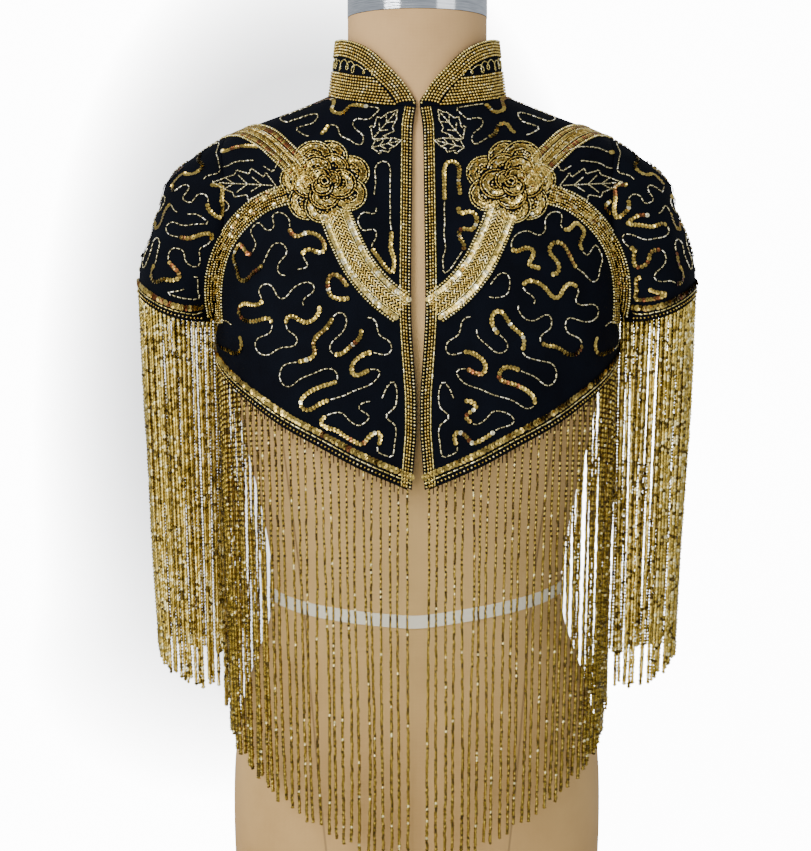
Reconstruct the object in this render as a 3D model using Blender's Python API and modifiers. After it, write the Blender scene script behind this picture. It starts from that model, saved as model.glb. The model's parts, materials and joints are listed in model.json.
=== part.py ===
"""A beaded bolero jacket with cap sleeves and long bead fringe, worn by a limbless dress form.

The front faces -Y, +X is the wearer's left and the form stands on z = 0. The form is a loft
through sections at named heights. The cloth hangs on a carrying surface of its own sections:
it follows the form at the neck and shoulders and drops straight from the bust. Each panel is
a grid between its own seam lines on that surface, given its thickness outwards.
"""

import math

import bmesh
import bpy
import numpy as np

# Driving dimensions, in metres
CLOTH = 0.0020  # backed velvet with the thread side of its beading
EASE = 0.0018  # the cloth's inside from the form where it rests
SEAM = 0.0004  # between two pieces that are sewn together
ARMHOLE_GAP = 0.0012  # between the body's armhole edge and the sleeve's, inside
FRINGE_GAP = 0.0005  # straight down between a hem and its fringe's tape
BODY_STRAND_LENGTH = 0.312
SLEEVE_STRAND_LENGTH = 0.305
STRAND = 0.0022  # the width of one bead strand
TAPE_DROP = 0.0030  # the height of the tape that holds a fringe's roots
STRAND_LEAN = 0.050  # how far a front strand's end draws in, as a share of its radius
BACK_LEAN = 0.005
SLEEVE_LEAN = 0.080  # a sleeve strand's end draws in towards the arm by this share of its depth
SLEEVE_SWING = 0.012  # and the outermost one swings in this far
UNEVEN = 0.0045  # the strands' lengths vary by this much
UNEVEN_TURNS = (2.399, 0.930)  # radians from strand to strand in the two waves of that
ROSE_HEIGHT = 0.0032
ROSE_RADIUS = 0.037
ROSE_PLACE = (0.074, 0.616)  # x and z of its middle on either front
ROSE_SEARCH_STEP = 0.25  # degrees between the places tried for its middle
ROSE_LOBES = 5
ROSE_LOBE_DEPTH = 0.07  # share of the radius
ROSE_RIM = 0.30  # the share of the radius over which it rises
ROSE_DIP = 0.25  # how much lower its middle is, as a share of its height
BUST_RISE = 0.035  # share of the radius that the bust adds
BUST_Z = 0.445
BUST_ANGLE = 34
BUST_SPREAD = 18
BUST_HEIGHT = 0.055

# The dress form: height, half width, depth in front, depth behind, squareness of the section
FORM_SECTIONS = (
    (0.000, 0.1570, 0.1050, 0.1060, 2.30),
    (0.004, 0.1600, 0.1080, 0.1090, 2.30),
    (0.047, 0.1620, 0.1120, 0.1120, 2.35),
    (0.100, 0.1620, 0.1120, 0.1130, 2.35),
    (0.145, 0.1590, 0.1100, 0.1100, 2.35),
    (0.200, 0.1460, 0.1030, 0.0990, 2.25),
    (0.235, 0.1300, 0.0950, 0.0910, 2.20),
    (0.267, 0.1245, 0.0930, 0.0860, 2.20),
    (0.300, 0.1275, 0.0970, 0.0880, 2.20),
    (0.345, 0.1350, 0.1080, 0.0940, 2.25),
    (0.390, 0.1460, 0.1200, 0.1020, 2.30),
    (0.440, 0.1560, 0.1270, 0.1100, 2.30),
    (0.500, 0.1600, 0.1200, 0.1150, 2.40),
    (0.560, 0.1630, 0.1040, 0.1170, 2.45),
    (0.600, 0.1645, 0.0900, 0.1100, 2.45),
    (0.630, 0.1655, 0.0800, 0.0990, 2.40),
    (0.642, 0.1655, 0.0765, 0.0930, 2.40),
    (0.650, 0.1630, 0.0735, 0.0890, 2.35),
    (0.655, 0.1565, 0.0715, 0.0865, 2.30),
    (0.660, 0.1440, 0.0690, 0.0840, 2.25),
    (0.666, 0.1275, 0.0662, 0.0805, 2.20),
    (0.672, 0.1108, 0.0640, 0.0768, 2.15),
    (0.679, 0.0920, 0.0625, 0.0728, 2.10),
    (0.685, 0.0770, 0.0616, 0.0690, 2.05),
    (0.690, 0.0690, 0.0610, 0.0658, 2.00),
    (0.696, 0.0635, 0.0603, 0.0628, 2.00),
    (0.704, 0.0602, 0.0596, 0.0604, 2.00),
    (0.718, 0.0587, 0.0587, 0.0587, 2.00),
    (0.755, 0.0587, 0.0587, 0.0587, 2.00),
)
# The cloth's carrying surface below the shoulder, in the same columns
HANGING_SECTIONS = (
    (0.340, 0.1640, 0.1310, 0.1165, 2.60),
    (0.400, 0.1648, 0.1305, 0.1165, 2.60),
    (0.440, 0.1655, 0.1295, 0.1165, 2.70),
    (0.468, 0.1660, 0.1275, 0.1168, 2.80),
    (0.500, 0.1665, 0.1215, 0.1172, 2.90),
    (0.560, 0.1670, 0.1050, 0.1180, 3.00),
    (0.600, 0.1670, 0.0905, 0.1105, 3.00),
    (0.630, 0.1665, 0.0805, 0.0995, 2.78),
    (0.642, 0.1660, 0.0768, 0.0935, 2.56),
)
SHOULDER_Z = 0.650  # from here up the cloth follows the form
PROFILE_TOP = 0.704  # the heights between which lengths are measured down the cloth
PROFILE_FOOT = 0.345
PROFILE_STEP = 0.0005

# Seam and edge lines on the carrying surface. Angles are in degrees from the centre front.
QUARTER = 90
FRONT_EDGE_ANGLE = 1  # where the neckline is read for the front edge, and the hem at twice that
NECKLINE = ((0, 0.6755), (20, 0.6762), (45, 0.6800), (70, 0.6855), (90, 0.6880), (120, 0.6905),
            (180, 0.6935))
HEM = ((0, 0.3735), (20, 0.3945), (31, 0.4106), (42, 0.4258), (55, 0.4458), (73, 0.4675), (90, 0.4780),
       (110, 0.4700), (140, 0.4400), (180, 0.4200))
# Height and half of the gap between the two fronts
FRONT_GAP = ((0.370, 0.0056), (0.400, 0.0030), (0.425, 0.0013), (0.445, 0.0013), (0.470, 0.0030),
             (0.520, 0.0056), (0.600, 0.0048), (0.660, 0.0040), (0.670, 0.0028), (0.676, 0.0014))
# Angle and height of the collar's top edge
COLLAR_TOP = ((0, 0.6790), (5, 0.6880), (10, 0.6965), (22, 0.7100), (37, 0.7240), (55, 0.7320),
              (69, 0.7350), (90, 0.7365), (180, 0.7380))
# Angle and inner radius at the collar's top edge
COLLAR_RADIUS = ((0, 0.0630), (45, 0.0640), (90, 0.0660), (180, 0.0650))

# The armhole: half depth, top, middle and bottom heights, and the squareness of its lower half
ARMHOLE_DEPTH = 0.058
ARMHOLE_TOP = 0.655
ARMHOLE_MIDDLE = 0.568
ARMHOLE_BOTTOM = 0.500
ARMHOLE_SQUARE = 3.2
SLEEVE_LAP = (60, 100)  # degrees from the shoulder between which its edge comes to lie over the body's
SLEEVE_SEWN = 150  # degrees round each half of the armhole, from the shoulder, where the sleeve is sewn

# The sleeve's hem in plan is part of an ellipse beside the body
SLEEVE_MIDDLE = 0.1955
SLEEVE_OUT = 0.0398
SLEEVE_DEPTH = 0.060
SLEEVE_START = 50  # degrees, where the hem leaves the body
SLEEVE_LOW = 0.5045
SLEEVE_RISE = 0.0225  # the hem is this much higher at the outer end
SLEEVE_WAY = (1.0, 0.0, 0.3)  # roughly the way that its outside faces
SLEEVE_LIFT = ((0.0125, 0.012, 0.0320), (0.0230, 0.012, 0.0110))  # outwards, forwards, upwards

SHARP = 40  # degrees between two faces from which their edge looks sharp

# How finely each piece is divided
FORM_SIDES = 36
FRONT_COLUMNS = 18
BACK_COLUMNS = 22
SHOULDER_ROWS = 6
ARMHOLE_ROWS = 12
SIDE_ROWS = 2
SLEEVE_ROWS = 8
COLLAR_ROWS = 4
FRONT_STRANDS = 36
BACK_STRANDS = 66
SLEEVE_STRANDS = 54

TAPE_Z = 0.2605
TAPE_TILT = 0.0036  # the waist tape is this much higher on the wearer's left
TAPE_SAG = 0.0115  # and dips this far at the centre front
TAPE_SAG_ANGLE = 70  # degrees to either side over which it dips
TAPE_WIDTH = 0.0106
TAPE_THICK = 0.0010
TAPE_GAP = 0.0015  # from the form's section, inside

CAP_MERGE = 0.0001  # points of the turned cap nearer than this are one
CAP_PROFILE = ((0.0, 0.0440), (0.030, 0.0425), (0.050, 0.0385), (0.0575, 0.0335), (0.0590, 0.0290),
               (0.0590, 0.0), (0.0, 0.0))  # radius and height above the neck

COLOURS = {
    "cover": ((0.50, 0.36, 0.20), 0.75, 0.0),
    "chrome": ((0.72, 0.73, 0.75), 0.12, 1.0),
    "white_tape": ((0.75, 0.74, 0.66), 0.80, 0.0),
    "velvet": ((0.006, 0.008, 0.018), 0.85, 0.0),
    "bead_fringe": ((0.52, 0.36, 0.10), 0.28, 0.9),
    "beaded_collar": ((0.40, 0.29, 0.10), 0.35, 0.8),
}


def slopes(x, y):
    """Slopes for a monotone cubic through the points of a table."""
    steps = np.diff(y) / np.diff(x)
    before, after = steps[:-1], steps[1:]
    same_way = before * after > 0
    total = np.where(same_way, before + after, 1.0)
    inner = np.where(same_way, 2 * before * after / total, 0.0)
    return np.concatenate([[steps[0]], inner, [steps[-1]]])


def smooth(table, at, column=1):
    """One column of a table, at any values of its first column."""
    rows = np.array(table, float)
    x, y = rows[:, 0], rows[:, column]
    at = np.clip(at, x[0], x[-1])
    i = np.clip(np.searchsorted(x, at) - 1, 0, len(x) - 2)
    width = x[i + 1] - x[i]
    t = (at - x[i]) / width
    m = slopes(x, y)
    return (
        (1 + 2 * t) * (1 - t) ** 2 * y[i]
        + t * (1 - t) ** 2 * width * m[i]
        + t * t * (3 - 2 * t) * y[i + 1]
        - t * t * (1 - t) * width * m[i + 1]
    )


CARRIER_SECTIONS = HANGING_SECTIONS + tuple(row for row in FORM_SECTIONS if row[0] >= SHOULDER_Z)


def bust(angle, z):
    """How much the bust widens the radius. Angles are in degrees."""
    turn = (np.abs(np.asarray(angle, float)) - BUST_ANGLE) / BUST_SPREAD
    return 1 + BUST_RISE * np.exp(-turn**2 - ((z - BUST_Z) / BUST_HEIGHT) ** 2)


def radius(sections, angle, z):
    """The radius of a section at a height, towards an angle from the centre front."""
    width, front, behind, square = (smooth(sections, z, k) for k in (1, 2, 3, 4))
    a = np.radians(np.asarray(angle, float))
    depth = np.where(np.cos(a) > 0, front, behind)
    across = (np.abs(np.sin(a)) / width) ** square
    along = (np.abs(np.cos(a)) / depth) ** square
    return (across + along) ** (-1 / square)


def at_radius(r, angle, z):
    a = np.radians(np.asarray(angle, float))
    return np.stack([r * np.sin(a), -r * np.cos(a), z + 0 * r], axis=-1)


def form_point(angle, z):
    return at_radius(radius(FORM_SECTIONS, angle, z) * bust(angle, z), angle, z)


def carrier_point(angle, z):
    """The surface that carries the cloth. Under the bust it hangs straight."""
    return at_radius(
        radius(CARRIER_SECTIONS, angle, z) * bust(angle, np.maximum(z, BUST_Z)), angle, z
    )


# Falls are lengths down the carrying surface's side profile, from the neck
PROFILE_Z = np.arange(PROFILE_TOP, PROFILE_FOOT, -PROFILE_STEP)
PROFILE_FALL = np.concatenate(
    [[0], np.cumsum(np.hypot(np.diff(PROFILE_Z), np.diff(smooth(CARRIER_SECTIONS, PROFILE_Z))))]
)


def fall_of(z):
    return np.interp(-np.asarray(z, float), -PROFILE_Z, PROFILE_FALL)


def height_of(fall):
    return np.interp(fall, PROFILE_FALL, PROFILE_Z)


def normals(grid, towards):
    """Point normals of a grid of points, on the side that towards names for each point."""
    a = grid[1:, 1:] - grid[:-1, :-1]
    b = grid[1:, :-1] - grid[:-1, 1:]
    faces = np.cross(a, b)
    total = np.zeros_like(grid)
    for rows in (slice(None, -1), slice(1, None)):
        for columns in (slice(None, -1), slice(1, None)):
            total[rows, columns] += faces
    total /= np.linalg.norm(total, axis=-1, keepdims=True)
    if (total * towards).sum() < 0:
        total = -total
    return total


def coons(left, right, top, bottom):
    """A grid between four edge lines that meet at its corners."""
    v = np.linspace(0, 1, len(left))[:, None, None]
    u = np.linspace(0, 1, len(top))[None, :, None]
    sides = (1 - u) * left[:, None] + u * right[:, None]
    ends = (1 - v) * top[None] + v * bottom[None]
    corners = (1 - v) * ((1 - u) * top[0] + u * top[-1]) + v * ((1 - u) * bottom[0] + u * bottom[-1])
    return sides + ends - corners


def armhole(behind):
    """Angles and heights down one half of the armhole, from the shoulder to the underarm."""
    turn = np.radians(np.linspace(0, 180, ARMHOLE_ROWS + 1))
    low = turn > math.pi / 2
    power = np.where(low, 2 / ARMHOLE_SQUARE, 1.0)
    rise = np.where(low, ARMHOLE_BOTTOM - ARMHOLE_MIDDLE, ARMHOLE_TOP - ARMHOLE_MIDDLE)
    z = ARMHOLE_MIDDLE + rise * np.abs(np.cos(turn)) ** power
    y = ARMHOLE_DEPTH * np.abs(np.sin(turn)) ** power
    width, depth, square = (smooth(CARRIER_SECTIONS, z, k) for k in (1, 3 if behind else 2, 4))
    x = width * (1 - (y / depth) ** square) ** (1 / square)
    angle = np.degrees(np.arctan2(x, y))
    return (180 - angle if behind else angle), z


def outer_line(behind):
    """The shoulder seam, the armhole and the side seam of a front or a back, as angle and fall."""
    neck = fall_of(smooth(NECKLINE, QUARTER))
    shoulder = np.linspace(neck, fall_of(ARMHOLE_TOP), SHOULDER_ROWS + 1)[:-1]
    arm_angle, arm_z = armhole(behind)
    side = fall_of(np.linspace(ARMHOLE_BOTTOM, smooth(HEM, QUARTER), SIDE_ROWS + 1)[1:])
    above, below = np.full(SHOULDER_ROWS, QUARTER), np.full(SIDE_ROWS, QUARTER)
    angle = np.concatenate([above, arm_angle, below])
    return np.stack([angle, np.concatenate([shoulder, fall_of(arm_z), side])], axis=-1)


def edge_line(table, angles):
    return np.stack([angles, fall_of(smooth(table, angles))], axis=-1)


def centre_front():
    """The front edge from the neck to the point of the hem, as angle and fall."""
    rows = SHOULDER_ROWS + ARMHOLE_ROWS + SIDE_ROWS + 1
    z = np.linspace(smooth(NECKLINE, FRONT_EDGE_ANGLE), smooth(HEM, 2 * FRONT_EDGE_ANGLE), rows)
    depth = smooth(CARRIER_SECTIONS, z, 2)
    angle = np.degrees(np.arctan2(smooth(FRONT_GAP, z), depth))
    return np.stack([angle, fall_of(z)], axis=-1)


def draped(lines):
    """The inside points and the normals of a panel, from its angles and falls."""
    z = height_of(lines[..., 1])
    surface = carrier_point(lines[..., 0], z)
    out = normals(surface, at_radius(np.ones_like(z), lines[..., 0], 0.5))
    return surface + EASE * out, out


def rose_relief(points):
    """How far the rose stands off the cloth: a low mound with five lobes."""
    z = ROSE_PLACE[1]
    line = carrier_point(np.arange(FRONT_EDGE_ANGLE, QUARTER, ROSE_SEARCH_STEP), z)
    middle = line[np.argmin(np.abs(line[:, 0] - ROSE_PLACE[0]))]
    away = points - middle
    lobes = 1 + ROSE_LOBE_DEPTH * np.cos(ROSE_LOBES * np.arctan2(away[..., 2], away[..., 0]))
    near = np.linalg.norm(away, axis=-1) / (ROSE_RADIUS * lobes)
    rim = np.clip((1 + ROSE_RIM / 2 - near) / ROSE_RIM, 0, 1)
    dip = 1 - ROSE_DIP * np.exp(-((near / ROSE_RIM) ** 2))
    return ROSE_HEIGHT * rim * rim * (3 - 2 * rim) * dip


def front_panel():
    """The wearer's left front: rows run down from the neck, columns out from the centre."""
    left = centre_front()
    right = outer_line(False)
    top = edge_line(NECKLINE, np.linspace(left[0, 0], QUARTER, FRONT_COLUMNS + 1))
    bottom = edge_line(HEM, np.linspace(left[-1, 0], QUARTER, FRONT_COLUMNS + 1))
    top[0], bottom[0], bottom[-1] = left[0], left[-1], right[-1]
    inner, out = draped(coons(left, right, top, bottom))
    outer = inner + (CLOTH + rose_relief(inner))[..., None] * out
    for side in (inner, outer):
        side[:, -1, 1] -= SEAM / 2
    return inner, outer


def back_panel():
    """The back: columns run from the wearer's left side seam round to the right one."""
    left = outer_line(True)
    right = left * (-1, 1) + (360, 0)
    angles = np.linspace(QUARTER, 3 * QUARTER, BACK_COLUMNS + 1)
    mirrored = 180 - np.abs(angles - 180)
    top = np.stack([angles, fall_of(smooth(NECKLINE, mirrored))], axis=-1)
    bottom = np.stack([angles, fall_of(smooth(HEM, mirrored))], axis=-1)
    inner, out = draped(coons(left, right, top, bottom))
    outer = inner + CLOTH * out
    for side in (inner, outer):
        side[:, [0, -1], 1] += SEAM / 2
    return inner, outer


def sleeve_seam(front, back):
    """The sleeve's seam round the wearer's left armhole, from the front round to the back."""
    turn = np.linspace(0, 180, ARMHOLE_ROWS + 1)
    turn = turn[turn <= SLEEVE_SEWN + 1]
    rows = slice(SHOULDER_ROWS, SHOULDER_ROWS + len(turn))
    halves = []
    for (inner, outer), column, beside in ((front, -1, -2), (back, 0, 1)):
        away = inner[rows, column] - inner[rows, beside]
        away /= np.linalg.norm(away, axis=-1, keepdims=True)
        halves.append(np.stack([inner[rows, column], (outer - inner)[rows, column], away]))
    tip = (halves[0][:, :1] + halves[1][:, :1]) / 2
    tip[2] /= np.linalg.norm(tip[2])
    points, thick, leave = np.concatenate([halves[0][:, :0:-1], tip, halves[1][:, 1:]], axis=1)
    return points, thick, leave, np.concatenate([turn[:0:-1], [0], -turn[1:]])


def sleeve(front, back):
    """The wearer's left sleeve: rows from the armhole to the hem, columns front to back."""
    start, thick, leave, turn = sleeve_seam(front, back)
    out = thick / np.linalg.norm(thick, axis=-1, keepdims=True)
    lap = np.interp(np.abs(turn), SLEEVE_LAP, (0, 1))[:, None]
    start = start + ARMHOLE_GAP * leave + lap * (CLOTH + SEAM) * out
    share = 1 - np.abs(turn) / np.abs(turn).max()
    plan = np.radians(SLEEVE_START + (180 - SLEEVE_START) * share)
    way = np.where(turn < 0, -1.0, 1.0)
    hem_x = SLEEVE_MIDDLE - SLEEVE_OUT * np.cos(plan)
    low = (hem_x - start[0, 0]) / (SLEEVE_MIDDLE + SLEEVE_OUT - start[0, 0])
    hem = np.stack(
        [hem_x, -way * SLEEVE_DEPTH * np.sin(plan), SLEEVE_LOW + SLEEVE_RISE * low**2], axis=-1
    )
    strength = np.cos(np.radians(turn) / 2)[:, None]
    forward = -way * np.abs(np.sin(np.radians(turn)))
    bends = [
        start
        + (hem - start) * part
        + strength * np.stack([lift[0] + 0 * turn, lift[1] * forward, lift[2] * strength[:, 0]], axis=-1)
        for part, lift in zip((1 / 3, 2 / 3), SLEEVE_LIFT)
    ]
    t = np.linspace(0, 1, SLEEVE_ROWS + 1)[:, None, None]
    inner = (
        (1 - t) ** 3 * start
        + 3 * t * (1 - t) ** 2 * bends[0]
        + 3 * t * t * (1 - t) * bends[1]
        + t**3 * hem
    )
    outer = inner + CLOTH * normals(inner, np.broadcast_to(SLEEVE_WAY, inner.shape))
    outer[0] = start + thick
    return inner, outer


def collar(front, back):
    """The collar from the wearer's left front edge round the neck to the right one."""
    rings = []
    for side in (0, 1):
        left, behind = front[side], back[side]
        first = np.concatenate([left[0], behind[0, 1:-1], left[0, ::-1] * (-1, 1, 1)])
        second = np.concatenate([left[1], behind[1, 1:-1], left[1, ::-1] * (-1, 1, 1)])
        if side == 0:
            away = first - second
            away /= np.linalg.norm(away, axis=-1, keepdims=True)
        rings.append(first + SEAM * away)
    seam_inner, seam_outer = rings
    angle = np.degrees(np.arctan2(seam_inner[:, 0], -seam_inner[:, 1]))
    top_z = smooth(COLLAR_TOP, np.abs(angle))
    top = at_radius(smooth(COLLAR_RADIUS, np.abs(angle)), angle, top_z)
    top_out = at_radius(smooth(COLLAR_RADIUS, np.abs(angle)) + CLOTH, angle, top_z)
    t = np.linspace(0, 1, COLLAR_ROWS + 1)[:, None, None]
    inner = (1 - t) * seam_inner + t * top
    outer = (1 - t) * seam_outer + t * top_out
    return inner, outer


def mirrored(sides):
    """The other side's copy of a grid's inside and outside."""
    return tuple(side * (-1, 1, 1) for side in sides)


def finished(name, mesh_data, material, parts):
    """Turns points and faces into a smooth-shaded object with its faces pointing out."""
    points, faces = mesh_data
    mesh = bpy.data.meshes.new(name)
    work = bmesh.new()
    corners = [work.verts.new(point) for point in points]
    for face in faces:
        work.faces.new([corners[i] for i in face])
    bmesh.ops.recalc_face_normals(work, faces=work.faces)
    work.to_mesh(mesh)
    work.free()
    mesh.shade_smooth()
    mesh.set_sharp_from_angle(angle=math.radians(SHARP))
    mesh.materials.append(material)
    obj = bpy.data.objects.new(name, mesh)
    parts.objects.link(obj)
    return obj


def wall(inner, outer):
    """A closed wall between two grids of points: both skins and the border between them."""
    rows, columns = inner.shape[:2]
    count = rows * columns
    points = np.concatenate([inner.reshape(-1, 3), outer.reshape(-1, 3)])
    faces = []
    for r in range(rows - 1):
        for c in range(columns - 1):
            quad = (r * columns + c, r * columns + c + 1, (r + 1) * columns + c + 1, (r + 1) * columns + c)
            faces.append(quad)
            faces.append(tuple(count + i for i in reversed(quad)))
    border = [c for c in range(columns)]
    border += [r * columns + columns - 1 for r in range(1, rows)]
    border += [(rows - 1) * columns + c for c in range(columns - 2, -1, -1)]
    border += [r * columns for r in range(rows - 2, 0, -1)]
    for a, b in zip(border, border[1:] + border[:1]):
        faces.append((b, a, count + a, count + b))
    return points, faces


def closed_rings(rings):
    """A loft through rings of equal length, with flat ends."""
    sides = len(rings[0])
    faces = [tuple(range(sides))[::-1]]
    for k in range(len(rings) - 1):
        for i in range(sides):
            j = (i + 1) % sides
            faces.append((k * sides + i, k * sides + j, (k + 1) * sides + j, (k + 1) * sides + i))
    faces.append(tuple((len(rings) - 1) * sides + i for i in range(sides)))
    return np.concatenate(rings), faces


def torso():
    angles = np.arange(FORM_SIDES) * 360 / FORM_SIDES
    turns = np.where(angles > 180, angles - 360, angles)
    return closed_rings([form_point(turns, np.full(FORM_SIDES, row[0])) for row in FORM_SECTIONS])


def waist_tape():
    """A flat ribbon round the waist: an inner and an outer loop, each with two edges."""
    angles = np.arange(FORM_SIDES) * 360 / FORM_SIDES
    turns = np.where(angles > 180, angles - 360, angles)
    side = np.sin(np.radians(turns))
    z = TAPE_Z + TAPE_TILT * side + TAPE_SAG * np.minimum(1, np.abs(turns) / TAPE_SAG_ANGLE)
    loops = []
    for edge, gap in ((-0.5, 0), (0.5, 0), (0.5, TAPE_THICK), (-0.5, TAPE_THICK)):
        height = z + edge * TAPE_WIDTH
        r = np.hypot(*form_point(turns, height)[:, :2].T)
        loops.append(at_radius(r + TAPE_GAP + gap, turns, height))
    points = np.concatenate(loops)
    faces = []
    for k in range(4):
        for i in range(FORM_SIDES):
            j = (i + 1) % FORM_SIDES
            n = (k + 1) % 4
            faces.append((k * FORM_SIDES + i, k * FORM_SIDES + j, n * FORM_SIDES + j, n * FORM_SIDES + i))
    return points, faces


def neck_cap(material, parts):
    """The polished cap on the neck, turned from its profile."""
    mesh = bpy.data.meshes.new("neck_cap")
    base = FORM_SECTIONS[-1][0] + SEAM
    rows = CAP_PROFILE
    mesh.from_pydata([(r, 0, base + z) for r, z in rows], [(i, i + 1) for i in range(len(rows) - 1)], [])
    mesh.materials.append(material)
    obj = bpy.data.objects.new("neck_cap", mesh)
    parts.objects.link(obj)
    turn = obj.modifiers.new("Turned", "SCREW")
    turn.steps = FORM_SIDES
    turn.render_steps = FORM_SIDES
    turn.use_merge_vertices = True
    turn.merge_threshold = CAP_MERGE
    return obj


def along(line, at):
    """Points on a line of points, at lengths measured from its start."""
    length = np.concatenate([[0], np.cumsum(np.linalg.norm(np.diff(line, axis=0), axis=1))])
    share = np.interp(at, length, np.arange(len(line)))
    i = np.minimum(share.astype(int), len(line) - 2)
    t = (share - i)[:, None]
    return line[i] * (1 - t) + line[i + 1] * t


def fringe(inner_edge, outer_edge, count, strand_end):
    """A tape just below a hem, with its strands grown out of the tape's lower face.

    The tape's upper edge has a point at each pitch and its lower edge has one on each side
    of every strand, so a strand's root is a gap in the lower face and the two are one body.
    """
    total = np.linalg.norm(np.diff(inner_edge, axis=0), axis=1).sum()
    pitch = total / count
    joints = np.arange(count + 1) * pitch
    middles = (np.arange(count) + 0.5) * pitch
    roots = np.stack([middles - STRAND / 2, middles + STRAND / 2], axis=-1).reshape(-1)
    share = np.linalg.norm(np.diff(outer_edge, axis=0), axis=1).sum() / total
    low = np.array([0, 0, -FRINGE_GAP])
    drop = np.array([0, 0, -TAPE_DROP])
    lines = [
        along(inner_edge, joints) + low,
        along(outer_edge, joints * share) + low,
        along(inner_edge, roots) + low + drop,
        along(outer_edge, roots * share) + low + drop,
    ]
    points = [point for line in lines for point in line]
    top_in, top_out, low_in, low_out = np.cumsum([0] + [len(line) for line in lines])[:4]
    faces = []
    for k in range(count):
        a, b, s, e = k, k + 1, 2 * k, 2 * k + 1
        faces.append((top_out + a, top_out + b, low_out + e, low_out + s))
        faces.append((top_in + b, top_in + a, low_in + s, low_in + e))
        faces.append((top_in + a, top_in + b, top_out + b, top_out + a))
        if k < count - 1:
            faces.append((top_out + b, low_out + s + 2, low_out + e))
            faces.append((top_in + b, low_in + e, low_in + s + 2))
            faces.append((low_out + e, low_out + s + 2, low_in + s + 2, low_in + e))
        root = [low_out + s, low_out + e, low_in + e, low_in + s]
        middle = sum(points[i] for i in root) / 4
        end = strand_end(middle, k)
        tip = len(points)
        for i in root:
            corner = points[i] - middle
            corner[2] = 0
            points.append(end + corner)
        for m in range(4):
            n = (m + 1) % 4
            faces.append((root[m], root[n], tip + n, tip + m))
        faces.append((tip, tip + 1, tip + 2, tip + 3))
    faces.append((top_in, top_out, low_out, low_in))
    last_low = 2 * count - 1
    faces.append((top_out + count, top_in + count, low_in + last_low, low_out + last_low))
    return points, faces


def uneven(k):
    """A strand's difference in length, which looks like chance and is the same each time."""
    quick, slow = UNEVEN_TURNS
    return UNEVEN * math.sin(k * quick + slow) * math.cos(k * slow)


def body_strand(root, k):
    """The end of a strand that hangs from the body's hem and draws in a little in front."""
    lean = STRAND_LEAN if root[1] < 0 else BACK_LEAN
    end = root * (1 - lean, 1 - lean, 1)
    end[2] -= BODY_STRAND_LENGTH + uneven(k)
    return end


def sleeve_strand(root, k):
    """The end of a strand that hangs from the left sleeve's hem."""
    reach = (root[0] - SLEEVE_MIDDLE + SLEEVE_OUT) / (2 * SLEEVE_OUT)
    end = root * (1, 1 - SLEEVE_LEAN, 1)
    end[0] -= SLEEVE_SWING * reach
    end[2] -= SLEEVE_STRAND_LENGTH + uneven(k)
    return end


def new_material(name, colour, roughness, metallic):
    material = bpy.data.materials.new(name)
    material.use_nodes = True
    surface = material.node_tree.nodes["Principled BSDF"]
    surface.inputs["Base Color"].default_value = (*colour, 1)
    surface.inputs["Roughness"].default_value = roughness
    surface.inputs["Metallic"].default_value = metallic
    material.diffuse_color = (*colour, 1)
    return material


def main():
    for obj in list(bpy.data.objects):
        bpy.data.objects.remove(obj)
    parts = bpy.data.collections.new("bolero_jacket")
    bpy.context.scene.collection.children.link(parts)
    materials = {name: new_material(name, *values) for name, values in COLOURS.items()}

    finished("form_torso", torso(), materials["cover"], parts)
    finished("waist_tape", waist_tape(), materials["white_tape"], parts)
    neck_cap(materials["chrome"], parts)

    front, back = front_panel(), back_panel()
    arm = sleeve(front, back)
    finished("front_left", wall(*front), materials["velvet"], parts)
    finished("front_right", wall(*mirrored(front)), materials["velvet"], parts)
    finished("back", wall(*back), materials["velvet"], parts)
    finished("sleeve_left", wall(*arm), materials["velvet"], parts)
    finished("sleeve_right", wall(*mirrored(arm)), materials["velvet"], parts)
    finished("collar", wall(*collar(front, back)), materials["beaded_collar"], parts)

    gold = materials["bead_fringe"]
    flip = np.array([-1.0, 1.0, 1.0])
    for name, sides, count, end in (
        ("front", front, FRONT_STRANDS, body_strand),
        ("sleeve", arm, SLEEVE_STRANDS, sleeve_strand),
    ):
        points, faces = fringe(sides[0][-1], sides[1][-1], count, end)
        finished(f"fringe_{name}_left", (points, faces), gold, parts)
        finished(f"fringe_{name}_right", ([point * flip for point in points], faces), gold, parts)
    behind = fringe(back[0][-1], back[1][-1], BACK_STRANDS, body_strand)
    finished("fringe_back", behind, gold, parts)


main()
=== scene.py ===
"""A beaded evening bolero on a limbless dress form: its velvet, bead and sequin work and bead
fringes, the form's linen cover, waist tape and neck cap, and a plain pale studio."""

import functools
import json
import math

import bmesh
import bpy
import numpy as np
from bpy.props import FloatProperty, FloatVectorProperty, IntProperty
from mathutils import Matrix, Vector
from mathutils.bvhtree import BVHTree
from mathutils.kdtree import KDTree

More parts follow.
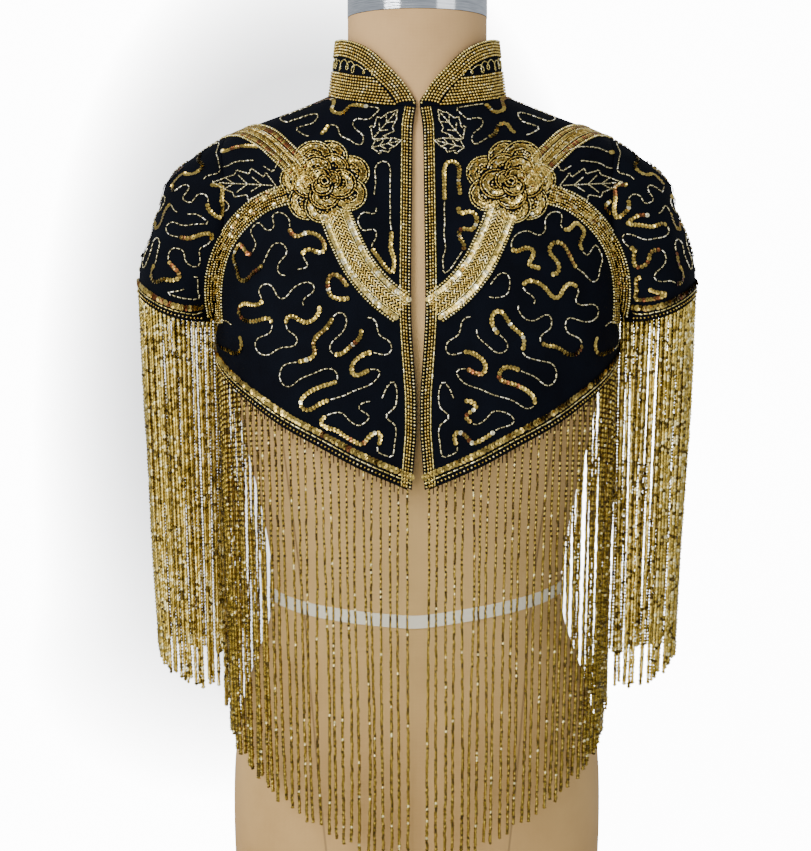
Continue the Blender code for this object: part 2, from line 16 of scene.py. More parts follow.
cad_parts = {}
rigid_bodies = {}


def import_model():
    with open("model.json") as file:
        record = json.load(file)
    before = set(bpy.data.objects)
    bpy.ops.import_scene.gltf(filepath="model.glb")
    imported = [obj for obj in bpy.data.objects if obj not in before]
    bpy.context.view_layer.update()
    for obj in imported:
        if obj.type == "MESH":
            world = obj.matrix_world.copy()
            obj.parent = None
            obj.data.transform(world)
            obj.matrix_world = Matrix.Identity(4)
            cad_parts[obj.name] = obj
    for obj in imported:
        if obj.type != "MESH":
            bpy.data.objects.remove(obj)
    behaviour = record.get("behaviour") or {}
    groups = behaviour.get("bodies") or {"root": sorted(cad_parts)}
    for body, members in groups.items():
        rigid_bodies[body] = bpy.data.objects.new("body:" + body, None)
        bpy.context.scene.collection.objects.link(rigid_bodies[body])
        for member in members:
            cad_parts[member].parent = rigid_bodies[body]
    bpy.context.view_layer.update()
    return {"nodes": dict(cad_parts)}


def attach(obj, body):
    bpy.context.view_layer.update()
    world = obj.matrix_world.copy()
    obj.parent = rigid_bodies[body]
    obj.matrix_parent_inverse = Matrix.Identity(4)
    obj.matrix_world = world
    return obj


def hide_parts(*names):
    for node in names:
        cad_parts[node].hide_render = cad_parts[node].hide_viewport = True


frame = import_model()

bl_info = {
    "name": "Beaded bolero on a dress form",
    "version": (1, 0, 0),
    "blender": (4, 5, 0),
    "location": "3D View > Sidebar > Bolero",
    "description": "Builds the bolero's velvet, bead work and fringe, its dress form and a studio",
    "category": "Object",
}

# The rose's middle on either front, in x and z, and its half width and height in the front view
ROSE_X = 0.074
ROSE_Z = 0.616
ROSE_WIDE = 0.0365
ROSE_TALL = 0.0330


def linear(code):
    """An sRGB hex colour as linear red, green and blue."""
    parts = [int(code[i : i + 2], 16) / 255 for i in (0, 2, 4)]
    return [c / 12.92 if c <= 0.04045 else ((c + 0.055) / 1.055) ** 2.4 for c in parts]


# Sizes and colours

def length(name, description, default):
    """A size in metres that a user may change."""
    return FloatProperty(
        name=name, description=description, default=default, min=0.0, subtype="DISTANCE", unit="LENGTH"
    )


def colour(name, description, code):
    """A colour that a user may change."""
    return FloatVectorProperty(
        name=name, description=description, default=linear(code), min=0.0, max=1.0, subtype="COLOR"
    )


def watts(name, description, default):
    """A light's power that a user may change."""
    return FloatProperty(
        name=name, description=description, default=default, subtype="POWER", unit="POWER"
    )


def glowing(name, description, default):
    """How bright a surface glows, which a user may change."""
    return FloatProperty(name=name, description=description, default=default, min=0.1)


class BoleroCloth(bpy.types.PropertyGroup):
    """The cloth of the jacket and of the form."""

    fold: length("Fold height", "How far the highest soft fold stands out", 0.0034)
    pile: length("Pile", "Size of the marks in the velvet's pile", 0.0016)
    weave: length("Cover weave", "Thread spacing of the form's linen cover", 0.0011)
    velvet: colour("Velvet", "The velvet seen straight on", "04050A")
    velvet_worn: colour("Velvet, pressed", "The velvet where its pile is pressed", "070A12")
    sheen: colour("Pile light", "The light that the pile's tips catch", "5A6880")
    linen_neck: colour("Linen, neck", "The form's cover at the neck", "D2A871")
    linen_waist: colour("Linen, waist", "The cover at the waist", "D8B270")
    # Darker and more yellow than the cover at the waist
    linen_foot: colour("Linen, foot", "The cover at the foot, more yellowed", "C1985C")
    tape: colour("Tape", "The waist tape", "FFF7DC")


class BoleroBeads(bpy.types.PropertyGroup):
    """The beads and sequins."""

    seed: length("Seed bead", "Width of a seed bead", 0.0021)
    bugle: length("Bugle bead", "Length of a bugle bead", 0.0043)
    bugle_wide: length("Bugle width", "Width of a bugle bead", 0.00125)
    sequin: length("Sequin", "Width of a cup sequin", 0.0037)
    row: length("Row pitch", "From one bead row of the collar to the next", 0.0024)
    meander: length("Meander spacing", "From one run of the meander to the next", 0.0131)
    strand: length("Strand width", "Width of a sleeve's fringe strand at its beads", 0.0039)
    strand_bead: length("Strand bead", "Length of a bead on a sleeve's fringe strand", 0.0028)
    seed_number: IntProperty(
        name="Layout number",
        description="Another number lays the meander out in another way",
        default=7,
        min=0,
    )
    gold_dark: colour("Gold, dark", "The darkest of the gold beads", "5A4412")
    gold: colour("Gold", "Most of the gold beads", "B2913C")
    gold_light: colour("Gold, light", "The lightest of the gold beads", "EED172")
    amber: colour("Amber", "The few reddish sequins", "7C4A2A")


class BoleroStudio(bpy.types.PropertyGroup):
    """The floor and the light."""

    floor: colour("Floor", "The pale sweep behind and under the form", "F4F4F4")
    glow: glowing("Paper glow", "How bright the sweep is", 14.0)
    # The sweep's glow inside its painted shadow
    shade: glowing("Paper shade", "How bright the sweep is in the soft shadow", 1.5)
    air: colour("Air", "Light from all round", "DDE2EA")
    key: watts("Key light", "Power of the light at the left", 54.0)
    fill: watts("Fill light", "Power of the light at the right", 8.0)
    bounce: watts("Bounce", "Power of the low light in front", 20.0)


# Nodes and materials

def add_node(tree, kind, values=None, links=None, **settings):
    """A shader node of that kind, with its settings, its values and the sockets that feed it."""
    node = tree.nodes.new(f"ShaderNode{kind}")
    for name, value in settings.items():
        setattr(node, name, value)
    for name, value in (values or {}).items():
        node.inputs[name].default_value = value
    for name, source in (links or {}).items():
        tree.links.new(source, node.inputs[name])
    return node


def ramp(tree, source, stops):
    """A colour ramp fed by a socket, from (place, linear colour) stops."""
    node = add_node(tree, "ValToRGB", links={"Fac": source})
    marks = node.color_ramp.elements
    while len(marks) < len(stops):
        marks.new(0.5)
    for mark, (place, rgb) in zip(marks, stops):
        mark.position = place
        mark.color = (*rgb, 1.0)
    return node.outputs["Color"]


def coloured(tree, shader, source, stops):
    """The shader takes its colour from a ramp fed by a socket."""
    tree.links.new(ramp(tree, source, stops), shader.inputs["Base Color"])


def shared(make):
    """The material that make makes, made when it is first asked for."""
    for material in bpy.data.materials:
        if material.get("made_by") == make.__name__:
            return material
    material = make()
    material["made_by"] = make.__name__
    return material


def finish(name, **values):
    """A new material with uniform values set on its shader, as (material, tree, shader)."""
    material = bpy.data.materials.new(name)
    material.use_nodes = True
    tree = material.node_tree
    shader = tree.nodes["Principled BSDF"]
    for key, value in values.items():
        shader.inputs[key.replace("_", " ")].default_value = value
    return material, tree, shader


MIX_SOCKETS = ("Factor_Float", "A_Color", "B_Color")  # a Mix node has these for each type of data


def mixed_colour(tree, share, first, second, way):
    """Two colours mixed by a socket's share, or wholly where there is none."""
    node = add_node(tree, "Mix", data_type="RGBA", blend_type=way)
    factor, a, b = (next(s for s in node.inputs if s.identifier == name) for name in MIX_SOCKETS)
    factor.default_value = 1.0
    if share is not None:
        tree.links.new(share, factor)
    tree.links.new(first, a)
    tree.links.new(second, b)
    return next(s for s in node.outputs if s.identifier == "Result_Color")


def bump(tree, shader, height, distance, strength=1.0):
    """Relief from a height socket, as deep as distance."""
    node = add_node(tree, "Bump", {"Distance": distance, "Strength": strength}, {"Height": height})
    tree.links.new(node.outputs["Normal"], shader.inputs["Normal"])


PRESSED_PATCH = 0.030  # metres across a patch where the pile is pressed


def velvet():
    """Silk velvet, woven and cut: near black with a blue cast, its pile lit at grazing angles and
    pressed in soft patches where the bead threads pull."""
    cloth = bpy.context.scene.bolero_cloth
    material, tree, shader = finish(
        "Silk_velvet_cut_pile_midnight", Roughness=0.82, Specular_IOR_Level=0.05,
        Sheen_Weight=0.012, Sheen_Roughness=0.34, Sheen_Tint=(*cloth.sheen, 1.0),
    )
    place = add_node(tree, "TexCoord").outputs["Object"]
    patches = add_node(
        tree, "TexNoise", {"Scale": 1 / PRESSED_PATCH, "Detail": 3.0, "Roughness": 0.55},
        {"Vector": place},
    )
    pile = add_node(tree, "TexNoise", {"Scale": 1 / cloth.pile, "Detail": 2.0}, {"Vector": place})
    mixed = add_node(
        tree, "Math", {1: 0.35}, {0: pile.outputs["Fac"], 2: patches.outputs["Fac"]},
        operation="MULTIPLY_ADD",
    )
    coloured(tree, shader, mixed.outputs[0], [(0.42, cloth.velvet), (0.86, cloth.velvet_worn)])
    bump(tree, shader, pile.outputs["Fac"], 0.00035, 0.7)
    return material


def ramp_of(*stops):
    """Colour stops from (place, hex colour) pairs."""
    return [(place, linear(code)) for place, code in stops]


def bead_finish(name, stops, roughness, metallic, grain):
    """Beads coloured one by one from their own tint, with a little unevenness over each."""
    material, tree, shader = finish(name, Metallic=metallic, Specular_IOR_Level=0.6)
    tint = add_node(tree, "Attribute", attribute_name="tint", attribute_type="GEOMETRY")
    place = add_node(tree, "TexCoord").outputs["Object"]
    spots = add_node(tree, "TexNoise", {"Scale": 1 / grain, "Detail": 1.0}, {"Vector": place})
    mixed = add_node(
        tree, "Math", {1: 0.22}, {0: spots.outputs["Fac"], 2: tint.outputs["Fac"]},
        operation="MULTIPLY_ADD",
    )
    # The palest stop colours the painted glints, whose tint is one, as well as the lightest beads
    coloured(tree, shader, mixed.outputs[0], stops)
    rough = add_node(
        tree, "MapRange", {"To Min": roughness * 0.7, "To Max": roughness * 1.4},
        {"Value": spots.outputs["Fac"]},
    )
    tree.links.new(rough.outputs["Result"], shader.inputs["Roughness"])
    return material


def gold_beads():
    """Seed and bugle beads of pressed glass with a gold lining: small bright points on warm gold."""
    beads = bpy.context.scene.bolero_beads
    stops = [(0.10, beads.gold_dark), (0.45, beads.gold), (0.95, beads.gold_light)]
    stops += ramp_of((1.0, "FFEDAE"))
    return bead_finish("Glass_beads_gold_lined", stops, 0.26, 0.88, 0.0011)


def pale_beads():
    """Silver-lined pale glass bugles: the light lines of the roses, the bands and the edges."""
    stops = ramp_of((0.10, "7C6D3C"), (0.5, "C0AA5A"), (0.9, "E8D480"), (1.0, "FFF1B4"))
    return bead_finish("Glass_bugles_silver_lined_champagne", stops, 0.22, 0.82, 0.0012)


def silver_beads():
    """Silver-lined clear bugles, a little warm: the light lines of the meander and the leaves."""
    stops = ramp_of((0.05, "4E4730"), (0.45, "A79B70"), (0.9, "D5C998"), (1.0, "FFF6D6"))
    return bead_finish("Glass_bugles_silver_lined_clear", stops, 0.20, 0.85, 0.0012)


def sequin_film():
    """Cup sequins stamped from gilt film: each one mirrors a different part of the room, and a few
    are amber."""
    gilt = ramp_of((0.16, "8A7438"), (0.60, "C6AA55"), (0.92, "EAD27E"), (1.0, "FFF4C4"))
    stops = [(0.06, bpy.context.scene.bolero_beads.amber), *gilt]
    return bead_finish("Film_sequins_stamped_gilt", stops, 0.20, 0.96, 0.0016)


def strand_beads():
    """Strung gold-lined beads: dark between two beads and lit on their round sides."""
    stops = ramp_of((0.05, "3C2A08"), (0.35, "9C8128"), (0.80, "DBBE5A"), (1.0, "FFEFA8"))
    return bead_finish("Glass_beads_strung_gold", stops, 0.24, 0.86, 0.0014)


MARKS = 0.09  # metres across the cover's faint marks
WAVE_TURN = 0.31  # a wave texture of this scale has one band to the metre
SEAM_LEAN = 0.10  # how far the cover's seams lean outwards for each metre of height
SEAM_AT = 0.068  # and how far they are from the middle at the foot


def linen_cover():
    """A linen cover pasted over papier-mache: a plain fine weave with slubs, faint marks and a
    stitched seam down each side of the front and back."""
    cloth = bpy.context.scene.bolero_cloth
    material, tree, shader = finish(
        "Linen_cover_plain_woven_natural", Roughness=0.78, Specular_IOR_Level=0.32, Sheen_Weight=0.05
    )
    place = add_node(tree, "TexCoord").outputs["Object"]
    split = add_node(tree, "SeparateXYZ", links={"Vector": place})
    turns = WAVE_TURN / cloth.weave
    warp, weft = (
        add_node(
            tree, "TexWave",
            {"Scale": turns, "Distortion": slubs, "Detail": 2.0, "Detail Scale": 1.5},
            {"Vector": place}, bands_direction=way,
        )
        for way, slubs in (("X", 1.2), ("Z", 1.6))
    )
    weave = add_node(
        tree, "Math", links={0: warp.outputs["Fac"], 1: weft.outputs["Fac"]},
        operation="MULTIPLY",
    )
    marks = add_node(
        tree, "TexNoise", {"Scale": 1 / MARKS, "Detail": 5.0, "Roughness": 0.6},
        {"Vector": place},
    )
    tone = add_node(
        tree, "Math", {1: 0.18}, {0: weave.outputs[0], 2: marks.outputs["Fac"]},
        operation="MULTIPLY_ADD",
    )
    level = add_node(
        tree, "MapRange", {"From Min": 0.05, "From Max": 0.72}, {"Value": split.outputs["Z"]}
    )
    # The cover's colour by height: darker and more yellow towards the foot
    by_height = ramp(
        tree, level.outputs["Result"],
        [(0.0, cloth.linen_foot), (0.33, cloth.linen_waist), (1.0, cloth.linen_neck)],
    )
    threads = ramp(tree, tone.outputs[0], [(0.30, (0.80, 0.78, 0.74)), (0.62, (1.0, 1.0, 1.0))])
    base = mixed_colour(tree, None, by_height, threads, "MULTIPLY")
    # The cover's seams stand about 94 mm from the middle at the waist
    across = add_node(tree, "Math", links={0: split.outputs["X"]}, operation="ABSOLUTE")
    lean = add_node(
        tree, "Math", {1: SEAM_LEAN, 2: SEAM_AT}, {0: split.outputs["Z"]},
        operation="MULTIPLY_ADD",
    )
    off = add_node(
        tree, "Math", links={0: across.outputs[0], 1: lean.outputs[0]},
        operation="SUBTRACT",
    )
    near = add_node(tree, "Math", links={0: off.outputs[0]}, operation="ABSOLUTE")
    seam = add_node(
        tree, "MapRange",
        {"From Min": 0.0004, "From Max": 0.0013, "To Min": 0.0, "To Max": 1.0},
        {"Value": near.outputs[0]},
    )
    dark = add_node(tree, "RGB")
    dark.outputs[0].default_value = (*linear("9A7B4E"), 1.0)
    sewn = mixed_colour(tree, seam.outputs["Result"], dark.outputs[0], base, "MIX")
    tree.links.new(sewn, shader.inputs["Base Color"])
    height = add_node(
        tree, "Math", {1: 0.5}, {0: weave.outputs[0], 2: seam.outputs["Result"]},
        operation="MULTIPLY_ADD",
    )
    bump(tree, shader, height.outputs[0], 0.00025, 0.6)
    return material


RIB = 0.0012  # from one rib of the twill to the next


def twill_tape():
    """Cotton twill tape, bleached: fine slanting ribs and two firm edges."""
    cloth = bpy.context.scene.bolero_cloth
    material, tree, shader = finish("Cotton_twill_tape_bleached", Roughness=0.8, Sheen_Weight=0.08)
    place = add_node(tree, "TexCoord").outputs["Object"]
    turned = add_node(tree, "Mapping", {"Rotation": (0.0, math.radians(35), 0.0)}, {"Vector": place})
    ribs = add_node(
        tree, "TexWave", {"Scale": WAVE_TURN / RIB, "Distortion": 0.6},
        {"Vector": turned.outputs["Vector"]}, bands_direction="Z",
    )
    coloured(tree, shader, ribs.outputs["Fac"], [(0.1, linear("E4DDC2")), (0.6, cloth.tape)])
    bump(tree, shader, ribs.outputs["Fac"], 0.0002, 0.6)
    return material


def chrome():
    """Steel spun to shape and chromed: mirror bright, with faint turning lines and finger marks."""
    material, tree, shader = finish("Steel_spun_chromed", Metallic=1.0)
    place = add_node(tree, "TexCoord").outputs["Object"]
    stretched = add_node(tree, "Mapping", {"Scale": (1.0, 1.0, 22.0)}, {"Vector": place})
    lines = add_node(
        tree, "TexNoise", {"Scale": 60.0, "Detail": 3.0},
        {"Vector": stretched.outputs["Vector"]},
    )
    smears = add_node(tree, "TexNoise", {"Scale": 1 / 0.02, "Detail": 2.0}, {"Vector": place})
    rough = add_node(
        tree, "MapRange", {"To Min": 0.05, "To Max": 0.16},
        {"Value": smears.outputs["Fac"]},
    )
    coloured(tree, shader, lines.outputs["Fac"], [(0.3, linear("B4B8BC")), (0.7, linear("DCDFE2"))])
    tree.links.new(rough.outputs["Result"], shader.inputs["Roughness"])
    bump(tree, shader, lines.outputs["Fac"], 0.00008, 0.5)
    return material


def thread_black():
    """Polyester sewing thread, black: the stitches that hold the fringe's tape."""
    material, tree, shader = finish("Sewing_thread_black", Roughness=0.9, Specular_IOR_Level=0.08)
    place = add_node(tree, "TexCoord").outputs["Object"]
    ply = add_node(tree, "TexNoise", {"Scale": 1 / 0.0008}, {"Vector": place})
    coloured(tree, shader, ply.outputs["Fac"], [(0.3, linear("040405")), (0.7, linear("0D0E11"))])
    return material


# A soft shadow of the form, painted into the sweep's glow to its left: the middle and the reach of
# each ball of painted shade
PAINTED_SHADOWS = (((-0.169, 1.65, 0.410), (0.545, 1.7, 0.778)), ((-0.06, 1.1, 0.10), (0.370, 0.80, 0.60)))
SHADOW_CORE = 0.36  # the share of the way in at which the shadow is full


def studio_paper():
    """Background paper, matt: a pale sweep with hardly any grain that glows white, and a soft
    shadow of the form painted into its glow to the form's left.
    """
    studio = bpy.context.scene.bolero_studio
    material, tree, shader = finish(
        "Background_paper_matt_white", Roughness=0.9, Specular_IOR_Level=0.1
    )
    place = add_node(tree, "TexCoord").outputs["Object"]
    grain = add_node(tree, "TexNoise", {"Scale": 8.0, "Detail": 4.0}, {"Vector": place})
    stops = [(0.3, [c * 0.97 for c in studio.floor]), (0.7, studio.floor)]
    coloured(tree, shader, grain.outputs["Fac"], stops)
    shader.inputs["Emission Color"].default_value = (*studio.floor, 1.0)
    # The painted shadow: balls of shade that dim the paper's glow towards their middles
    balls = []
    for centre, size in PAINTED_SHADOWS:
        turned = add_node(
            tree, "Mapping",
            {"Location": [-c / s for c, s in zip(centre, size)], "Scale": [1 / s for s in size]},
            {"Vector": place},
        )
        links = {"Vector": turned.outputs["Vector"]}
        balls.append(add_node(tree, "TexGradient", links=links, gradient_type="SPHERICAL"))
    shade = add_node(
        tree, "Math", links={k: ball.outputs["Fac"] for k, ball in enumerate(balls)},
        operation="MAXIMUM",
    )
    # Worked out on the logarithm, so that the painted shadow's edge fades evenly to the eye
    power = add_node(
        tree, "MapRange",
        {"From Max": SHADOW_CORE, "To Min": math.log(studio.glow), "To Max": math.log(studio.shade)},
        {"Value": shade.outputs[0]},
    )
    power = add_node(tree, "Math", {0: math.e}, {1: power.outputs["Result"]}, operation="POWER")
    tree.links.new(power.outputs[0], shader.inputs["Emission Strength"])
    return material


# Making and changing meshes

SAME_POINT = 0.00002  # points of a CAD mesh that are nearer than this are one


def alone(piece):
    """Selects this piece and nothing else."""
    bpy.ops.object.select_all(action="DESELECT")
    piece.select_set(True)
    bpy.context.view_layer.objects.active = piece


def merged_copy(node, name):
    """A CAD node's loose triangles as one mesh of quads, in a piece of its own."""
    piece = bpy.data.objects.new(name, frame["nodes"][node].data.copy())
    bpy.context.scene.collection.objects.link(piece)
    piece.data.materials.clear()
    alone(piece)
    bpy.ops.mesh.customdata_custom_splitnormals_clear()
    bpy.ops.object.mode_set(mode="EDIT")
    bpy.ops.mesh.select_all(action="SELECT")
    bpy.ops.mesh.remove_doubles(threshold=SAME_POINT)
    bpy.ops.mesh.tris_convert_to_quads(
        face_threshold=math.radians(50), shape_threshold=math.radians(70)
    )
    bpy.ops.object.mode_set(mode="OBJECT")
    return piece


def creased(piece, sharp):
    """Keeps the cut rims of a wall where they are when the piece is subdivided."""
    mesh = bmesh.new()
    mesh.from_mesh(piece.data)
    layer = mesh.edges.layers.float.get("crease_edge") or mesh.edges.layers.float.new("crease_edge")
    for edge in mesh.edges:
        if len(edge.link_faces) == 2 and edge.calc_face_angle() > sharp:
            edge[layer] = 1.0
    mesh.to_mesh(piece.data)
    mesh.free()


def finer(piece, levels):
    """Subdivides the piece into a smooth one."""
    modifier = piece.modifiers.new("Finer", "SUBSURF")
    modifier.levels = levels
    modifier.render_levels = levels
    alone(piece)
    bpy.ops.object.modifier_apply(modifier=modifier.name)


def points_of(mesh):
    """A mesh's points as an array."""
    points = np.empty(len(mesh.vertices) * 3)
    mesh.vertices.foreach_get("co", points)
    return points.reshape(-1, 3)


def unit(rows):
    """Each row with length one."""
    return rows / np.maximum(np.linalg.norm(rows, axis=-1, keepdims=True), 1e-12)


def run_length(line):
    """How far along a line each of its points is."""
    return np.concatenate([[0.0], np.cumsum(np.linalg.norm(np.diff(line, axis=0), axis=1))])


def along(line, at, rows=None):
    """A line's points, or other rows that go with them, at these lengths from its start."""
    far, rows = run_length(line), line if rows is None else rows
    return np.stack([np.interp(at, far, rows[:, k]) for k in range(rows.shape[1])], axis=1)


def heading(line, places, reach):
    """From a little before these lengths along a line to a little after them."""
    total = run_length(line)[-1]
    return along(line, np.minimum(places + reach, total)) - along(line, np.maximum(places - reach, 0))


FINE = 0.001  # from point to point of a finely drawn line
PLAIN = 0.002  # and of one that only keeps other motifs away


def spaced(line, step=FINE):
    """The line again, with a point at about every step."""
    total = run_length(line)[-1]
    return along(line, np.linspace(0.0, total, max(2, int(round(total / step)) + 1)))


def rounded(nodes, closed=False, parts=8):
    """A smooth line through the nodes."""
    nodes = np.asarray(nodes, float)
    if closed:
        around = np.concatenate([nodes[-1:], nodes, nodes[:2]])
    else:
        around = np.concatenate([2 * nodes[:1] - nodes[1:2], nodes, 2 * nodes[-1:] - nodes[-2:-1]])
    t = np.linspace(0.0, 1.0, parts, endpoint=False)[:, None]
    made = []
    for k in range(1, len(around) - 2):
        a, b, c, d = around[k - 1], around[k], around[k + 1], around[k + 2]
        bend, twist = 2 * a - 5 * b + 4 * c - d, 3 * b - a - 3 * c + d
        made.append(0.5 * (2 * b + (c - a) * t + bend * t**2 + twist * t**3))
    made.append(around[-2:-1])
    return np.concatenate(made)


def beside(line, distance):
    """A plan line moved sideways, to the right of its own way."""
    ahead = unit(np.gradient(line, axis=0))
    return line + np.stack([ahead[:, 1], -ahead[:, 0]], axis=1) * distance


# Beads and sequins, each modelled once

def model_of(piece):
    """Takes a modelled bead's points and faces, and removes it from the scene."""
    points = points_of(piece.data)
    faces = [tuple(face.vertices) for face in piece.data.polygons]
    mesh = piece.data
    bpy.data.objects.remove(piece)
    bpy.data.meshes.remove(mesh)
    return points, faces


def seed_bead():
    """A squat ring of glass, one across and lying along x, with its thread hole sunk at both ends."""
    bpy.ops.object.select_all(action="DESELECT")
    bpy.ops.mesh.primitive_uv_sphere_add(
        segments=6, ring_count=4, radius=0.5, rotation=(0.0, math.pi / 2, 0.0)
    )
    piece = bpy.context.object
    bpy.ops.object.transform_apply(location=True, rotation=True, scale=True)
    for point in piece.data.vertices:
        if abs(point.co.x) > 0.49:
            point.co.x *= 0.6
    return model_of(piece)


def bugle_bead():
    """A short glass tube lying along x, with softly drawn-in ends."""
    bpy.ops.object.select_all(action="DESELECT")
    bpy.ops.mesh.primitive_cylinder_add(
        vertices=6, radius=0.5, depth=0.8, rotation=(0.0, math.pi / 2, 0.0)
    )
    piece = bpy.context.object
    bpy.ops.object.transform_apply(location=True, rotation=True, scale=True)
    bpy.ops.object.mode_set(mode="EDIT")
    for end in (-1.0, 1.0):
        mesh = bmesh.from_edit_mesh(piece.data)
        for face in mesh.faces:
            face.select_set(face.normal.x * end > 0.9)
        bmesh.update_edit_mesh(piece.data)
        bpy.ops.mesh.extrude_region_move(TRANSFORM_OT_translate={"value": (0.1 * end, 0.0, 0.0)})
        bpy.ops.transform.resize(value=(1.0, 0.55, 0.55))
        bpy.ops.mesh.select_all(action="DESELECT")
    bpy.ops.object.mode_set(mode="OBJECT")
    return model_of(piece)


def cup_sequin():
    """A stamped cup of film with its hole in the middle, one across and facing up z."""
    bpy.ops.object.select_all(action="DESELECT")
    bpy.ops.mesh.primitive_circle_add(vertices=8, radius=0.5, fill_type="NGON")
    piece = bpy.context.object
    bpy.ops.object.mode_set(mode="EDIT")
    bpy.ops.mesh.select_all(action="SELECT")
    bpy.ops.mesh.inset(thickness=0.37, depth=-0.10)
    bpy.ops.mesh.delete(type="FACE")
    bpy.ops.object.mode_set(mode="OBJECT")
    return model_of(piece)


def seeded(number):
    """Random numbers for one operator, which the layout number changes."""
    return np.random.default_rng(number + bpy.context.scene.bolero_beads.seed_number)


@functools.cache
def bead_models():
    """The points and faces of each thing that is sewn on, by its name."""
    return {"seed": seed_bead(), "bugle": bugle_bead(), "sequin": cup_sequin()}


class Heap:
    """Beads in a few finishes, gathered for one joined mesh."""

    def __init__(self, *finishes):
        self.finishes = finishes
        self.points, self.faces, self.tints, self.chosen, self.count = [], [], [], [], 0

    def add(self, model, at, ahead, up, size, tint, finish):
        """Sets a copy of the model at each place, its x along ahead and its z along up."""
        if len(at) == 0:
            return
        shape, faces = bead_models()[model]
        up = unit(up)
        side = unit(np.cross(up, ahead))
        ahead = np.cross(side, up)
        size = np.broadcast_to(np.asarray(size, float), (len(at), 3))
        frames = np.stack([ahead * size[:, :1], side * size[:, 1:2], up * size[:, 2:]], axis=1)
        placed = at[:, None, :] + np.einsum("pk,nkd->npd", shape, frames)
        self.points.append(placed.reshape(-1, 3))
        start = self.count + np.arange(len(at)) * len(shape)
        tint = np.broadcast_to(np.asarray(tint, float), (len(at),))
        for face in faces:
            self.faces.append(np.add.outer(start, np.array(face)))
            self.tints.append(tint)
            self.chosen.append(np.full(len(at), self.finishes.index(finish)))
        self.count += len(at) * len(shape)

    def sewn(self, name):
        """The joined mesh as a piece of beading that rides on the jacket."""
        points = np.concatenate(self.points)
        piece = joined(name, points, self.faces, self.tints, self.chosen, self.finishes)
        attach(piece, "root")


def joined(name, points, faces, tints, chosen, finishes):
    """A piece from arrays of faces, each face with its tint and the number of its finish."""
    mesh = bpy.data.meshes.new(name)
    sizes = np.concatenate([np.full(len(block), block.shape[1]) for block in faces])
    loops = np.concatenate([block.reshape(-1) for block in faces])
    mesh.vertices.add(len(points))
    mesh.vertices.foreach_set("co", points.astype(np.float32).reshape(-1))
    mesh.loops.add(len(loops))
    mesh.loops.foreach_set("vertex_index", loops.astype(np.int32))
    mesh.polygons.add(len(sizes))
    starts = np.concatenate([[0], np.cumsum(sizes)[:-1]])
    mesh.polygons.foreach_set("loop_start", starts.astype(np.int32))
    mesh.polygons.foreach_set("material_index", np.concatenate(chosen).astype(np.int32))
    mesh.update(calc_edges=True)
    tint = mesh.attributes.new("tint", "FLOAT", "FACE")
    tint.data.foreach_set("value", np.concatenate(tints).astype(np.float32))
    for finish in finishes:
        mesh.materials.append(shared(finish))
    if mesh.validate():
        raise RuntimeError(f"{name} has a broken mesh")
    piece = bpy.data.objects.new(name, mesh)
    bpy.context.scene.collection.objects.link(piece)
    return piece


# The cloth and the ways to lay a design on it

GRAZING = 0.02  # a ray that is flatter to the cloth than this share has missed it
LIFTED = 0.003  # points are lifted so far before the nearest cloth is looked for
FAR_OFF = 0.012  # cloth that is further away than this isn't the one beneath


class Ground:
    """The outer faces of some panels, on which the beads are laid."""

    def __init__(self, *nodes):
        points, faces, self.owner, self.nodes = [], [], [], nodes
        for number, node in enumerate(nodes):
            mesh = bpy.data.objects[f"velvet_{node}"].data
            start = sum(len(block) for block in points)
            points.append(points_of(mesh))
            for face in mesh.polygons:
                faces.append([start + v for v in face.vertices])
                self.owner.append(number)
        self.tree = BVHTree.FromPolygons([Vector(p) for p in np.concatenate(points)], faces)

    def cast(self, origins, directions, only=None):
        """Where rays meet the cloth, or only one panel of it, as (points, normals, found)."""
        at, up = np.zeros((len(origins), 3)), np.zeros((len(origins), 3))
        found = np.zeros(len(origins), bool)
        wanted = None if only is None else self.nodes.index(only)
        for k, (origin, direction) in enumerate(zip(origins, directions)):
            place, normal, index, _ = self.tree.ray_cast(Vector(origin), Vector(direction))
            if place is None or (wanted is not None and self.owner[index] != wanted):
                continue
            if normal.dot(Vector(direction)) > -GRAZING:
                continue
            at[k], up[k], found[k] = place, normal, True
        return at, up, found

    def nearest(self, points, up):
        """The nearest cloth to points lifted a little, as (points, normals)."""
        at, normals = points.copy(), up.copy()
        for k, point in enumerate(points + up * LIFTED):
            place, normal, _, _ = self.tree.find_nearest(Vector(point), FAR_OFF)
            if place is not None:
                at[k], normals[k] = place, normal
        return at, normals


def level_rays(y, plan):
    """Level rays that start at y, for a design drawn in x and z."""
    origins = np.stack([plan[:, 0], np.full(len(plan), y), plan[:, 1]], axis=1)
    return origins, np.broadcast_to([0.0, -y, 0.0], origins.shape)


from_front = functools.partial(level_rays, -1.0)
from_back = functools.partial(level_rays, 1.0)

SLEEVE_HEART = (0.170, 0.0, 0.560)  # the point that a left sleeve's design looks at
SLEEVE_SPREAD = 0.066  # metres of plan for one radian round it
SLEEVE_RISE = 0.30  # how far the design's middle looks up for each metre outwards
RAY_START = 0.4  # rays that go round a sleeve or the shoulders start so far out


def from_sleeve(side):
    """Rays for a design drawn flat over one sleeve: plan x goes to the back on the left sleeve
    and to the front on the right one, plan y goes up."""

    def rays(plan):
        heart = np.array(SLEEVE_HEART) * (side, 1, 1)
        out = unit(np.array([side * 1.0, 0.0, SLEEVE_RISE]))
        back = np.array([0.0, 1.0, 0.0])
        rise = np.cross(out, back) * side
        turn = np.linalg.norm(plan, axis=1) / SLEEVE_SPREAD
        share = plan * (side, 1) / np.maximum(np.linalg.norm(plan, axis=1, keepdims=True), 1e-9)
        ways = (
            np.cos(turn)[:, None] * out
            + (np.sin(turn) * share[:, 0])[:, None] * back
            + (np.sin(turn) * share[:, 1])[:, None] * rise
        )
        return heart + ways * RAY_START, -ways

    return rays


JUMP = 8 * FINE  # a line whose points are further apart than this has left the cloth
FEWEST = 4  # points of a stretch that is worth beads


